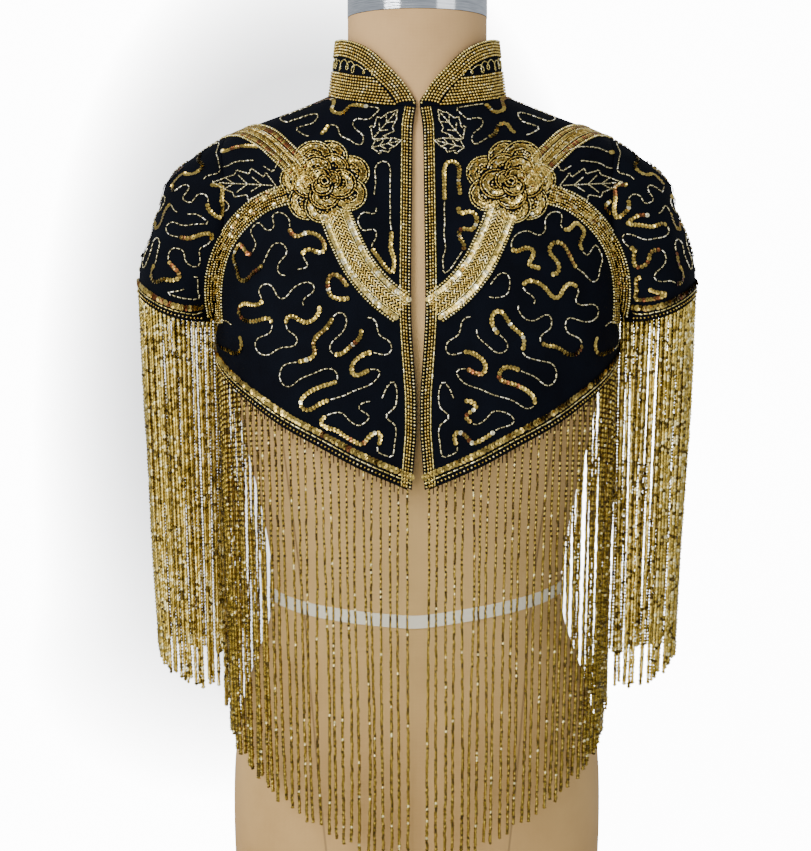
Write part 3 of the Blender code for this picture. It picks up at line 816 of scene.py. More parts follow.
def laid(ground, rays, plan, only=None):
    """The stretches of cloth under a plan line, each as (points, normals)."""
    plan = spaced(np.asarray(plan, float))
    at, up, found = ground.cast(*rays(plan), only)
    stretches, start = [], None
    jump = np.concatenate([[False], np.linalg.norm(np.diff(at, axis=0), axis=1) > JUMP])
    for k in range(len(plan) + 1):
        good = k < len(plan) and found[k] and not (jump[k] and start is not None)
        if good and start is None:
            start = k
        if not good and start is not None:
            if k - start >= FEWEST:
                stretches.append((at[start:k], up[start:k]))
            start = k if k < len(plan) and found[k] else None
    return stretches


PAINTED_GLINTS = 0.05  # the share of beads given the palest tint, a painted glint
MIRRORS = 0.03  # the share of a row's sequins turned to mirror the key light
DISC_TALL = 0.0022  # a thing that is taller than this is a sequin
LIT_WAY = (-0.32, -0.90, 0.28)  # a sequin that faces this way mirrors the key light to the front
LIT_SPREAD = 0.05  # and how far it may be off
LIT_NEAR = 0.75  # only cloth that faces about that way has any
TIPPED = 0.10  # how unevenly beads lie
SKEW = 900  # radians that a bead turns for each metre that its row wanders


def turned_to_light(facing, normal, share, rng):
    """The ways that sequins face, with this share of them turned to mirror the key light."""
    lit = unit(np.array([LIT_WAY]) + rng.normal(0, LIT_SPREAD, facing.shape))
    chosen = (rng.random(len(facing)) < share) & ((normal * lit).sum(axis=1) > LIT_NEAR)
    return np.where(chosen[:, None], lit, facing)


def strung(
    heap, stretch, rng, model, pitch, size, lift, tints, finish, lean=0.0, wander=0.0, part=(0.0, 1.0)
):
    """Beads in a row along a stretch of cloth.

    Pitch is from bead to bead and lift from the cloth to a bead's middle. Size is along the row,
    across it and up. Tints are the darkest and the lightest but for the painted glints, which take
    the palest tint. Lean tips each bead along the row, wander moves it off the row, and part is the
    share of the row that is sewn.
    """
    line, up = stretch
    total = run_length(line)[-1]
    begin, end = total * part[0], total * part[1]
    count = int(round((end - begin) / pitch))
    if count < 1:
        return
    places = begin + (np.arange(count) + 0.5) * (end - begin) / count
    at = along(line, places)
    normal = unit(along(line, places, up))
    ahead = heading(line, places, pitch / 2)
    ahead = unit(ahead - normal * (ahead * normal).sum(axis=1, keepdims=True))
    side = np.cross(normal, ahead)
    if wander:
        at = at + side * rng.normal(0, wander, (count, 1))
        ahead = unit(ahead + side * rng.normal(0, wander * SKEW, (count, 1)))
    facing = unit(normal + ahead * lean) + side * rng.normal(0, TIPPED, (count, 1))
    facing = unit(facing + ahead * rng.normal(0, TIPPED, (count, 1)))
    if size[2] > DISC_TALL:
        facing = turned_to_light(facing, normal, MIRRORS, rng)
    size = np.asarray(size) * rng.uniform(0.92, 1.08, (count, 1))
    tint = tints[0] + (tints[1] - tints[0]) * rng.random(count)
    # A few beads take the palest tint, a painted glint
    tint = np.where(rng.random(count) < PAINTED_GLINTS, 1.0, tint)
    heap.add(model, at + normal * lift, ahead, facing, size, tint, finish)


def bugle_row(beads, pitch, tints, finish, share=1.0):
    """A row of bugles. Pitch and share are shares of a bugle's own length."""
    size = (beads.bugle * share, beads.bugle_wide, beads.bugle_wide)
    pitch = beads.bugle * pitch
    return dict(model="bugle", pitch=pitch, size=size, lift=0.0006, tints=tints, finish=finish)


# The cut rims of the cloth, read from the CAD mesh

def outer_rim(piece, sharp):
    """The outer edge of a wall's cut rim, as points in order round it.

    Faces that meet softly are one region, and the wall's outer faces are the largest one.
    """
    mesh = bmesh.new()
    mesh.from_mesh(piece.data)
    mesh.normal_update()
    mesh.faces.ensure_lookup_table()
    left, regions = set(range(len(mesh.faces))), []
    while left:
        first = left.pop()
        region, stack = {first}, [mesh.faces[first]]
        while stack:
            for edge in stack.pop().edges:
                if edge.calc_face_angle() < sharp:
                    for face in edge.link_faces:
                        if face.index in left:
                            left.discard(face.index)
                            region.add(face.index)
                            stack.append(face)
        regions.append(region)
    outer = max(regions, key=lambda region: sum(mesh.faces[k].calc_area() for k in region))
    next_to = {}
    for edge in mesh.edges:
        if sum(face.index in outer for face in edge.link_faces) == 1:
            a, b = edge.verts
            next_to.setdefault(a.index, []).append(b.index)
            next_to.setdefault(b.index, []).append(a.index)
    spots = {v.index: tuple(v.co) for v in mesh.verts}
    mesh.free()
    loops, left = [], set(next_to)
    while left:
        here = min(left)
        loop = [here]
        left.discard(here)
        while True:
            ahead = [v for v in next_to[here] if v in left]
            if not ahead:
                break
            here = ahead[0]
            left.discard(here)
            loop.append(here)
        loops.append(loop)
    return np.array([spots[v] for v in max(loops, key=len)])


def rim_sides(loop, corner):
    """The rim cut at its corners into its sides."""
    before = unit(loop - np.roll(loop, 1, axis=0))
    after = unit(np.roll(loop, -1, axis=0) - loop)
    turning = np.arccos(np.clip((before * after).sum(axis=1), -1, 1))
    corners = np.flatnonzero(turning > corner)
    if len(corners) < 2:
        return [np.concatenate([loop, loop[:1]])]
    sides = []
    for a, b in zip(corners, np.roll(corners, -1)):
        index = np.arange(a, b + 1 if b > a else b + 1 + len(loop)) % len(loop)
        sides.append(loop[index])
    return sides


def body_middle(place):
    """A point inside the body that a place on the cloth faces away from."""
    return (place[0] * 0.55, 0.0, min(max(place[2], 0.40), 0.56))


def sleeve_middle(place):
    """A point inside the sleeve, level with a place on it."""
    return (math.copysign(SLEEVE_HEART[0], place[0]), 0.0, place[2])


def collar_middle(place):
    """A point in the middle of the neck, level with a place on the collar."""
    return (0.0, 0.0, place[2])


RIMS = {}  # the sides of each cloth piece's rim, kept for the trims

# Each panel of the jacket, and how to find a point inside it
PANELS = {
    "front_left": body_middle,
    "front_right": body_middle,
    "back": body_middle,
    "sleeve_left": sleeve_middle,
    "sleeve_right": sleeve_middle,
    "collar": collar_middle,
}

BODICE = ("front_left", "front_right", "back", "sleeve_left", "sleeve_right")
SIDES = ((1, "left"), (-1, "right"))  # the wearer's left is at plus x

# Soft folds of the wearer's left: two ends, half width and height as a share of the fold height.
# A trough has a height below nought. The other side's folds are the same kind, a little changed.
FOLDS = (
    ((0.150, -0.050, 0.505), (0.105, -0.110, 0.470), 0.0085, 0.9),
    ((0.146, -0.055, 0.530), (0.095, -0.112, 0.505), 0.0070, 0.5),
    ((0.118, -0.105, 0.560), (0.128, -0.098, 0.480), 0.0080, 0.6),
    ((0.060, -0.125, 0.520), (0.052, -0.128, 0.430), 0.0095, 0.55),
    ((0.030, -0.125, 0.500), (0.026, -0.128, 0.395), 0.0080, 0.45),
    ((0.085, -0.120, 0.470), (0.078, -0.122, 0.425), 0.0075, 0.6),
    ((0.128, 0.085, 0.560), (0.096, 0.108, 0.450), 0.0095, 0.8),
    ((0.060, 0.110, 0.560), (0.050, 0.118, 0.440), 0.0110, 0.6),
    ((0.140, 0.060, 0.520), (0.110, 0.095, 0.480), 0.0080, 0.7),
    ((0.020, 0.100, 0.600), (0.012, 0.118, 0.430), 0.0100, 0.5),
    ((0.205, -0.050, 0.600), (0.200, -0.058, 0.515), 0.0090, 0.8),
    ((0.228, -0.020, 0.590), (0.232, -0.018, 0.525), 0.0085, 0.6),
    ((0.205, 0.050, 0.600), (0.202, 0.058, 0.515), 0.0095, 0.8),
    ((0.230, 0.022, 0.600), (0.233, 0.024, 0.525), 0.0080, 0.5),
    ((0.182, -0.058, 0.560), (0.176, -0.062, 0.515), 0.0070, 0.5),
    ((0.192, -0.004, 0.640), (0.214, -0.002, 0.602), 0.0300, 2.6),
)
# The wearer's right sleeve sits closer to the arm above its hem
RIGHT_FOLDS = (((0.228, -0.008, 0.585), (0.234, -0.006, 0.560), 0.0260, -1.5),)

# Each side's folds: their height, how far they are moved, and which they are
FOLD_SIDES = ((1, 1.0, 0.0, FOLDS), (-1, 0.86, 0.004, FOLDS + RIGHT_FOLDS))
FOLD_RUN_OUT = 0.25  # how far a fold runs on past its ends, as a share of its length


def folded(points, height):
    """The points of a wall with its soft folds."""
    rise = np.zeros(len(points))
    for side, change, shift, folds in FOLD_SIDES:
        for start, end, half, share in folds:
            a = np.array(start) * (side, 1, 1) + (0, 0, shift)
            b = np.array(end) * (side, 1, 1) + (side * shift, 0, shift)
            way = b - a
            t = ((points - a) @ way) / (way @ way)
            t = np.clip(t, -FOLD_RUN_OUT, 1 + FOLD_RUN_OUT)
            off = np.linalg.norm(points - (a + t[:, None] * way), axis=1)
            taper = np.cos(np.clip(t - 0.5, -0.75, 0.75) * math.pi / 1.5) ** 2
            rise += height * share * change * taper * np.exp(-((off / half) ** 2))
    return points + outward(points) * rise[:, None]


def outward(points):
    """The way out of the body at each point of a wall, the same for its inner and outer faces."""
    middle = np.stack([points[:, 0] * 0.7, np.zeros(len(points)), points[:, 2]], axis=1)
    return unit(points - middle)


def smooth(piece, angle):
    """Shades a piece smoothly but for edges that are sharper than the angle."""
    alone(piece)
    bpy.ops.object.shade_smooth_by_angle(angle=math.radians(angle))


def cloth_piece(node, material):
    """A CAD panel as smooth velvet with its soft folds."""
    piece = merged_copy(node, f"velvet_{node}")
    RIMS[node] = rim_sides(outer_rim(piece, math.radians(30)), math.radians(38))
    creased(piece, math.radians(30))
    finer(piece, 1)
    mesh = piece.data
    if node != "collar":
        moved = folded(points_of(mesh), bpy.context.scene.bolero_cloth.fold)
        mesh.vertices.foreach_set("co", moved.astype(np.float32).reshape(-1))
        mesh.update()
    mesh.materials.append(material)
    smooth(piece, 45)
    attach(piece, "root")
    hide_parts(node)
    return piece


class BOLERO_OT_cloth(bpy.types.Operator):
    """Makes the fronts, back, sleeves and collar"""

    bl_idname = "bolero.cloth"
    bl_label = "Cloth"

    def execute(self, context):
        material = shared(velvet)
        for node in PANELS:
            piece = cloth_piece(node, material)
        return {"FINISHED"}


# The form

# Each piece of the form: its CAD node, its name, its finish and slot, the angles in degrees from
# which it is creased and shaded sharply, and how often it is made finer
FORM = (
    ("form_torso", "form_cover", linen_cover, "cover", 40, 40, 2),
    ("waist_tape", "form_waist_tape", twill_tape, "tape", 50, 50, 2),
    ("neck_cap", "form_neck_cap", chrome, "cap", 30, 28, 1),
)


class BOLERO_OT_form(bpy.types.Operator):
    """Makes the form's cover, its waist tape and its neck cap"""

    bl_idname = "bolero.form"
    bl_label = "Dress form"

    def execute(self, context):
        for node, name, finish, slot, crease, sharp, levels in FORM:
            piece = merged_copy(node, name)
            creased(piece, math.radians(crease))
            finer(piece, levels)
            piece.data.materials.append(shared(finish))
            smooth(piece, sharp)
            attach(piece, "root")
            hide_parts(node)
        return {"FINISHED"}


# Trims along the edges

SHORT_SIDE = 0.03  # a rim's sides that are shorter than this are its corners


def side_of(node, pick):
    """One side of a panel's rim, the one for which pick is least."""
    return min((s for s in RIMS[node] if run_length(s)[-1] > SHORT_SIDE), key=pick)


def hem_of(node):
    """The lowest side of a panel's rim."""
    return side_of(node, lambda side: side[:, 2].mean())


def front_edge_of(node):
    """The side of a front's rim that is nearest to the jacket's middle."""
    return side_of(node, lambda side: np.abs(side[:, 0]).mean())


def centre_of(node):
    """The middle of a panel's rim."""
    return np.mean(np.concatenate(RIMS[node]), axis=0)


def softened(rows, width):
    """Values that go with a line, each averaged over its neighbours."""
    share = np.ones(width) / width
    padded = np.pad(rows, ((width // 2, width // 2), (0, 0)), mode="edge")
    columns = [np.convolve(padded[:, c], share, mode="valid") for c in range(rows.shape[1])]
    return np.stack(columns, axis=1)


INSET = 0.006  # so far inside a rim the cloth's own way up is read


def trim_rows(ground, side, inner, centre, distances, soft=9):
    """Stretches that run beside a rim, one for each distance into the panel."""
    side = softened(spaced(side), soft)
    out = unit(side - np.array([inner(p) for p in side]))
    inwards = unit(centre - side)
    inwards = unit(inwards - out * (inwards * out).sum(axis=1, keepdims=True))
    ahead = unit(np.gradient(side, axis=0))
    _, up = ground.nearest(side + inwards * INSET, out)
    up = unit(softened(up, 15))
    across = unit(np.cross(up, ahead))
    across = across * np.where((across * inwards).sum() < 0, -1.0, 1.0)
    return [ground.nearest(side + across * distance, up) for distance in distances]


EDGE_PITCH = 0.0027  # from bead to bead along the front edges and the collar


class BOLERO_OT_trims(bpy.types.Operator):
    """Sews the bead rows along the front edges and the hems"""

    bl_idname = "bolero.trims"
    bl_label = "Edge trims"

    def execute(self, context):
        beads = context.scene.bolero_beads
        rng = seeded(11)
        for node in BODICE:
            heap, ground = Heap(gold_beads, pale_beads, sequin_film), Ground(node)
            hem_trim(heap, ground, node, beads, rng)
            if node.startswith("front"):
                edge_trim(heap, ground, node, beads, rng)
            heap.sewn(f"trim_{node}")
        return {"FINISHED"}


def edge_trim(heap, ground, node, beads, rng):
    """Three bead rows and a row of bugles down a front edge."""
    edge, centre = front_edge_of(node), centre_of(node)
    distances = (0.0016, 0.0042, 0.0063, 0.0084)
    outer, *middle, inner = trim_rows(ground, edge, PANELS[node], centre, distances)
    round_bead = dict(
        model="seed", pitch=EDGE_PITCH, size=(beads.seed, beads.seed * 0.95, beads.seed * 0.9),
        lift=0.0007, tints=(0.3, 0.9), finish=pale_beads,
    )
    oval_bead = dict(
        model="seed", pitch=EDGE_PITCH, size=(0.0029, 0.0018, 0.0018), lift=0.0008,
        tints=(0.25, 0.75), finish=gold_beads,
    )
    strung(heap, outer, rng, **round_bead)
    for row in middle:
        strung(heap, row, rng, **oval_bead)
    strung(heap, inner, rng, **bugle_row(beads, 1.02, (0.3, 0.8), pale_beads))


def hem_trim(heap, ground, node, beads, rng):
    """Two bead lines above a hem and a row of overlapping sequins above them."""
    hem, centre = hem_of(node), centre_of(node)
    distances = (0.0016, 0.0048, 0.0094)
    lowest, middle, (line, up) = trim_rows(ground, hem, PANELS[node], centre, distances)
    small_bead = dict(
        model="seed", pitch=beads.seed * 1.5,
        size=(beads.seed * 0.9, beads.seed * 0.85, beads.seed * 0.8), lift=0.0007,
        tints=(0.2, 0.9), finish=gold_beads,
    )
    strung(heap, lowest, rng, **small_bead)
    strung(heap, middle, rng, **bugle_row(beads, 1.15, (0.2, 0.9), pale_beads))
    amber_share = 0.35 if node.startswith("sleeve") else 0.1
    total = run_length(line)[-1]
    disc = beads.sequin * 1.45
    count = int(total / (disc * 0.62))
    places = (np.arange(count) + 0.5) * total / count
    at = along(line, places)
    normal = unit(along(line, places, up))
    ahead = unit(heading(line, places, 0.002))
    facing = unit(normal + ahead * 0.28 + rng.normal(0, 0.20, (count, 3)))
    facing = turned_to_light(facing, normal, 0.04, rng)
    is_amber = rng.random(count) < amber_share
    amber = rng.uniform(-0.1, 0.15, count)
    tint = np.where(is_amber, amber, rng.uniform(0.05, 0.60, count))
    heap.add("sequin", at + normal * 0.0012, ahead, facing, (disc,) * 3, tint, sequin_film)


# The collar

TOP_ROWS, NECK_ROWS = 6, 9  # bead rows below the collar's top edge and above its neck edge
TOP_MARGIN, NECK_MARGIN = 0.0013, 0.0014  # from each edge to its first row
COLLAR_TIP = 0.6775  # the height of the collar's front ends

COLLAR_BEAD = dict(model="seed", pitch=EDGE_PITCH, size=(0.0029, 0.0021, 0.0019), lift=0.0008)
COLLAR_BUGLE = dict(
    model="bugle", pitch=0.0023, size=(0.0022, 0.0009, 0.0009), lift=0.0005, tints=(0.4, 0.9),
    finish=pale_beads,
)


class BOLERO_OT_collar(bpy.types.Operator):
    """Beads the collar in rows, with an open lens of squiggles on each wing"""

    bl_idname = "bolero.collar"
    bl_label = "Collar beading"

    def execute(self, context):
        beads = context.scene.bolero_beads
        rng = seeded(23)
        ground, heap = Ground("collar"), Heap(gold_beads, pale_beads)
        top, neck = outer_line_of_collar()
        rows = [TOP_MARGIN + beads.row * k for k in range(TOP_ROWS)]
        ups = trim_rows(ground, top, collar_middle, level_with(top, 0.60), rows, 5)
        rows = [NECK_MARGIN + beads.row * k for k in range(NECK_ROWS)]
        downs = trim_rows(ground, neck, collar_middle, level_with(neck, 0.80), rows, 5)
        for k, row in enumerate(ups):
            finish = pale_beads if k == 0 else gold_beads
            strung(heap, row, rng, tints=(0.35, 0.9), finish=finish, **COLLAR_BEAD)
        fine_top, fine_neck = spaced(top, PLAIN), spaced(neck, PLAIN)
        taken = TOP_MARGIN + beads.row * (TOP_ROWS - 0.35)
        for line, up in downs:
            away = distance_to(line, fine_top)
            for part in stretches_where((line, up), away > taken):
                strung(heap, part, rng, tints=(0.3, 0.85), finish=gold_beads, **COLLAR_BEAD)
        below = NECK_MARGIN + beads.row * (NECK_ROWS - 0.2)
        lens(heap, ground, fine_top, fine_neck, taken, below, rng)
        heap.sewn("collar_beading")
        return {"FINISHED"}


def level_with(line, height):
    """The points of a line moved straight up or down to one height."""
    line = spaced(line)
    return np.stack([line[:, 0], line[:, 1], np.full(len(line), height)], axis=1)


def outer_line_of_collar():
    """The collar's top and neck edges from its rim, cut at the front ends."""
    loop = np.concatenate([side[:-1] for side in RIMS["collar"]])
    angle = np.degrees(np.arctan2(np.abs(loop[:, 0]), -loop[:, 1]))
    # A front end is the point nearest to the middle, and of two the one level with the tips
    off = angle * 1000 + np.abs(loop[:, 2] - COLLAR_TIP) * 2000
    front = [min(np.flatnonzero(loop[:, 0] * side > 0), key=lambda k: off[k]) for side in (1, -1)]
    a, b = sorted(front)
    one = loop[a : b + 1]
    two = np.concatenate([loop[b:], loop[: a + 1]])
    return (one, two) if one[:, 2].mean() > two[:, 2].mean() else (two, one)


def stretches_where(stretch, good):
    """The parts of a stretch where good is true."""
    line, up = stretch
    parts, start = [], None
    for k in range(len(line) + 1):
        if k < len(line) and good[k]:
            start = k if start is None else start
        elif start is not None:
            if k - start > 4:
                parts.append((line[start:k], up[start:k]))
            start = None
    return parts


def lens(heap, ground, top, neck, from_top, from_neck, rng):
    """A fine line of bugles that loops through the open middle of each collar wing.

    It goes round the neck by an angle in degrees, 0 in front and 180 behind, and swings
    between the rows below the top edge and those above the neck edge.
    """
    for side in (1, -1):
        turn_top = np.degrees(np.arctan2(top[:, 0] * side, -top[:, 1]))
        turn_neck = np.degrees(np.arctan2(neck[:, 0] * side, -neck[:, 1]))
        phase = np.arange(0.0, 40 * math.pi, 0.25)
        angle = 20 + phase * 1.22 + 2.6 * np.sin(phase) + 1.1 * np.sin(phase * 0.37)
        above = np.abs(turn_top - angle[:, None]).argmin(axis=1)
        below = np.abs(turn_neck - angle[:, None]).argmin(axis=1)
        high, low = top[above, 2] - from_top, neck[below, 2] + from_neck
        reach = (high - low) / 2 - 0.0004
        z = (high + low) / 2 + reach * np.cos(phase) * (0.80 + 0.2 * np.sin(phase * 0.61))
        good = (reach > 0.0016) & (angle < 176)
        way = np.radians(angle)
        origins = np.stack([side * np.sin(way), -np.cos(way), z], axis=1)
        at, up, found = ground.cast(origins * (RAY_START, RAY_START, 1), origins * (-1, -1, 0))
        for part in stretches_where((at, up), found & good):
            strung(heap, part, rng, **COLLAR_BUGLE)


# The roses

def petals():
    """The rose's petals from the lowest to the highest: middle x, y, radius and layer, in shares."""
    made = []
    for k in range(7):
        turn = 2 * math.pi * (k + 0.2 * math.sin(2.1 * k)) / 7 + 0.35
        made.append((0.60 * math.cos(turn), 0.60 * math.sin(turn), 0.40 + 0.03 * math.sin(3.7 * k), 0))
    for k in range(5):
        turn = 2 * math.pi * (k + 0.15 * math.cos(1.7 * k)) / 5 + 0.9
        made.append((0.34 * math.cos(turn), 0.34 * math.sin(turn), 0.33 + 0.02 * math.cos(2.9 * k), 1))
    for k in range(3):
        turn = 2 * math.pi * k / 3 + 0.2
        made.append((0.13 * math.cos(turn), 0.13 * math.sin(turn), 0.22, 2))
    made.append((0.02, -0.01, 0.13, 3))
    return made


PETAL_RING = 0.062  # from one bead row of a petal to the next, as a share of the rose's width
PETAL_HEART = 0.03  # a petal's rows end so near its middle
PETAL_SHADE = 0.035  # and so far outside a petal that lies over it
PETAL_STEP = 0.0006  # from point to point of a row
LAYER_RISE = 0.0005  # from one layer of petals to the next

PETAL_ROWS = {
    "rim": dict(model="bugle", pitch=0.0031, size=(0.0028, 0.0012, 0.0012), lift=0.0009),
    "film": dict(
        model="sequin", pitch=0.0021, size=(0.0030, 0.0030, 0.0026), lift=0.0010,
        tints=(0.15, 0.70), finish=sequin_film, lean=0.30, wander=0.0002,
    ),
    "tubes": dict(
        model="bugle", pitch=0.0022, size=(0.0027, 0.0012, 0.0012), lift=0.0009, tints=(0.2, 0.9),
        finish=gold_beads, wander=0.0004,
    ),
    "beads": dict(
        model="seed", pitch=0.0021, size=(0.0020, 0.0019, 0.0018), lift=0.0009, tints=(0.15, 0.9),
        finish=gold_beads, wander=0.0003,
    ),
}


class BOLERO_OT_roses(bpy.types.Operator):
    """Beads the raised rose on each front, petal by petal"""

    bl_idname = "bolero.roses"
    bl_label = "Roses"

    def execute(self, context):
        rng = seeded(31)
        ground = Ground("front_left", "front_right")
        for side, side_name in SIDES:
            heap = Heap(gold_beads, pale_beads, sequin_film)
            all_petals = petals()
            for index, petal in enumerate(all_petals):
                self.petal(heap, ground, side, petal, all_petals[index + 1 :], rng)
            heap.sewn(f"rose_{side_name}")
        return {"FINISHED"}

    def petal(self, heap, ground, side, petal, over, rng):
        """One petal, row by row from its rim inwards, where no petal over it hides it."""
        x, y, reach, layer = petal
        ring = 0
        while reach > PETAL_HEART:
            count = max(10, int(2 * math.pi * reach * ROSE_WIDE / PETAL_STEP))
            turn = np.linspace(0, 2 * math.pi, count)
            spot = np.stack([x + reach * np.cos(turn), y + reach * np.sin(turn)], axis=1)
            clear = np.ones(count, bool)
            for other_x, other_y, radius, _ in over:
                away = np.hypot(spot[:, 0] - other_x, spot[:, 1] - other_y)
                clear &= away > radius + PETAL_SHADE
            x_plan = side * (ROSE_X - spot[:, 0] * ROSE_WIDE)
            plan = np.stack([x_plan, ROSE_Z + spot[:, 1] * ROSE_TALL], axis=1)
            at, up, found = ground.cast(*from_front(plan))
            at = at + up * (LAYER_RISE * layer)
            for part in stretches_where((at, up), clear & found):
                self.ring(heap, part, ring, layer, rng)
            ring += 1
            reach -= PETAL_RING

    def ring(self, heap, part, ring, layer, rng):
        """One row of a petal: a bright rim, then tubes, sequins and beads by turns."""
        if ring == 0 and layer == 0:
            strung(heap, part, rng, tints=(0.30, 0.85), finish=pale_beads, **PETAL_ROWS["rim"])
        elif ring == 0:
            strung(heap, part, rng, tints=(0.15, 0.70), finish=gold_beads, **PETAL_ROWS["rim"])
        else:
            kind = "film" if ring % 4 == 2 else "tubes" if ring % 2 else "beads"
            strung(heap, part, rng, **PETAL_ROWS[kind])


# The bands that leave the roses

# Their middle lines on the wearer's left, in x and z
FRONT_BAND = ((0.066, 0.592), (0.058, 0.572), (0.046, 0.549), (0.030, 0.530), (0.0115, 0.516))
ARM_BAND = (
    (0.104, 0.606), (0.122, 0.600), (0.140, 0.587), (0.155, 0.569),
    (0.1635, 0.548), (0.1665, 0.526), (0.1655, 0.502),
)
SHOULDER_BAND = ((0.084, 0.634), (0.0952, 0.643), (0.112, 0.652), (0.126, 0.658), (0.150, 0.658))

# The shoulder band goes from front to back: x, and the angle in degrees round a line at this
# height, with this many metres of plan for each radian
OVER_SHOULDER = (
    (0.086, -64), (0.101, -51), (0.118, -38), (0.136, -24), (0.151, -8), (0.160, 10), (0.163, 30),
)
SHOULDER_LINE = 0.570
SHOULDER_SPREAD = 0.09

# Each band's rows: how far beside its middle line they run, and of which kind they are
FRONT_ROWS = (
    *((off, "points") for off in (-0.0119, 0.0119)),
    *((off, "discs") for off in (-0.0085, 0.0085)),
    *((off, "tubes") for off in (-0.0055, 0.0055)),
)
ARM_ROWS = (
    *((off, "points") for off in (-0.0074, 0.0074)),
    *((off, "beads") for off in (-0.0053, -0.0032, -0.0011, 0.0011, 0.0032, 0.0053)),
)
SHOULDER_ROWS = ((-0.0085, "points"), (0.0085, "points"), (-0.0030, "tubes"), (0.0030, "tubes"))

BAND_ROWS = {
    "points": dict(
        model="seed", pitch=0.0025, size=(0.0022, 0.0022, 0.0020), lift=0.0009, tints=(0.45, 1.0),
        finish=pale_beads,
    ),
    "tubes": dict(
        model="bugle", pitch=0.0040, size=(0.0038, 0.0013, 0.0012), lift=0.0006, tints=(0.35, 0.95),
        finish=pale_beads,
    ),
    "discs": dict(
        model="sequin", pitch=0.0023, size=(0.0044, 0.0044, 0.0036), lift=0.0008, tints=(0.45, 1.0),
        finish=sequin_film, lean=0.30,
    ),
    "beads": dict(
        model="seed", pitch=0.0020, size=(0.0021, 0.0020, 0.0018), lift=0.0008, tints=(0.15, 0.9),
        finish=gold_beads, wander=0.00025,
    ),
}

# Rows of slanting bugles: how far beside the middle line, and the slope in radians
FRONT_PLAIT = ((-0.0036, 0.62), (-0.0012, -0.62), (0.0012, 0.62), (0.0036, -0.62))
SHOULDER_LADDERS = ((-0.0057, math.pi / 2), (0.0057, math.pi / 2))
SHOULDER_PLAIT = ((-0.0013, 0.8), (0.0013, -0.8))


def over_shoulder(side):
    """Rays for a design drawn over one shoulder: plan x goes outwards, plan y to the back."""

    def rays(plan):
        turn = plan[:, 1] / SHOULDER_SPREAD
        level = np.zeros(len(turn))
        ways = np.stack([level, np.sin(turn), np.cos(turn)], axis=1)
        heart = np.stack([plan[:, 0] * side, level, level + SHOULDER_LINE], axis=1)
        return heart + ways * RAY_START, -ways

    return rays


class BOLERO_OT_bands(bpy.types.Operator):
    """Beads the bands from each rose to the front edge, the sleeve hem and over the shoulder"""

    bl_idname = "bolero.bands"
    bl_label = "Bands"

    def execute(self, context):
        self.rng = seeded(41)
        self.ground = Ground(*BODICE)
        for side, side_name in SIDES:
            self.heap = Heap(gold_beads, pale_beads, sequin_film)
            self.front_band(spaced(rounded(np.multiply(FRONT_BAND, (side, 1.0)))))
            self.arm_band(spaced(rounded(np.multiply(ARM_BAND, (side, 1.0)))))
            self.shoulder_band(over_shoulder(side))
            self.heap.sewn(f"bands_{side_name}")
        return {"FINISHED"}

    def rows(self, line, rows, rays=from_front):
        """A band's straight rows."""
        for off, kind in rows:
            for part in laid(self.ground, rays, beside(line, off)):
                strung(self.heap, part, self.rng, **BAND_ROWS[kind])

    def slanted(self, line, rows, pitch, size, tints, finish, rays=from_front):
        """Rows of short bugles laid slantwise across the way of a band."""
        for off, slope in rows:
            for at, up in laid(self.ground, rays, beside(line, off)):
                total = run_length(at)[-1]
                count = int(total / pitch)
                if count < 2:
                    continue
                places = (np.arange(count) + 0.5) * total / count
                normal = unit(along(at, places, up))
                ahead = unit(heading(at, places, 0.002))
                side = np.cross(normal, ahead)
                uneven = side * self.rng.normal(0, 0.06, (count, 1))
                way = ahead * math.cos(slope) + side * math.sin(slope) + uneven
                tint = tints[0] + (tints[1] - tints[0]) * self.rng.random(count)
                spot = along(at, places) + normal * 0.0008
                self.heap.add("bugle", spot, way, normal, size, tint, finish)

    def front_band(self, line):
        """Bead points, flat sequins and tubes on both sides of a plaited middle."""
        self.rows(line, FRONT_ROWS)
        tube = (0.0043, 0.0013, 0.0013)
        self.slanted(line, FRONT_PLAIT, 0.0029, tube, (0.45, 0.95), gold_beads)

    def arm_band(self, line):
        """A dense, uneven fill of gold and amber between two rows of bright points."""
        self.rows(line, ARM_ROWS)
        rng = self.rng
        for at, up in laid(self.ground, from_front, line):
            total = run_length(at)[-1]
            count = int(total / 0.0022)
            places = rng.uniform(0, total, count)
            normal = unit(along(at, places, up))
            ahead = unit(heading(at, places, 0.002))
            side = np.cross(normal, ahead)
            strewn = side * rng.uniform(-0.0058, 0.0058, (count, 1))
            spot = along(at, places) + strewn + normal * 0.0016
            facing = unit(normal + rng.normal(0, 0.22, (count, 3)))
            tint = np.where(rng.random(count) < 0.3, 0.0, rng.uniform(0.3, 1.0, count))
            self.heap.add("sequin", spot, ahead, facing, (0.0034,) * 3, tint, sequin_film)

    def shoulder_band(self, rays):
        """A plaited middle between two ladders of amber bugles, over the shoulder to the back."""
        plan = [(x, math.radians(angle) * SHOULDER_SPREAD) for x, angle in OVER_SHOULDER]
        line = spaced(rounded(plan))
        self.rows(line, SHOULDER_ROWS, rays)
        rung, plait = (0.0036, 0.0012, 0.0012), (0.0032, 0.0012, 0.0012)
        self.slanted(line, SHOULDER_LADDERS, 0.0015, rung, (-0.2, 0.5), sequin_film, rays)
        self.slanted(line, SHOULDER_PLAIT, 0.0019, plait, (0.1, 0.9), gold_beads, rays)


# The leaves and the meander

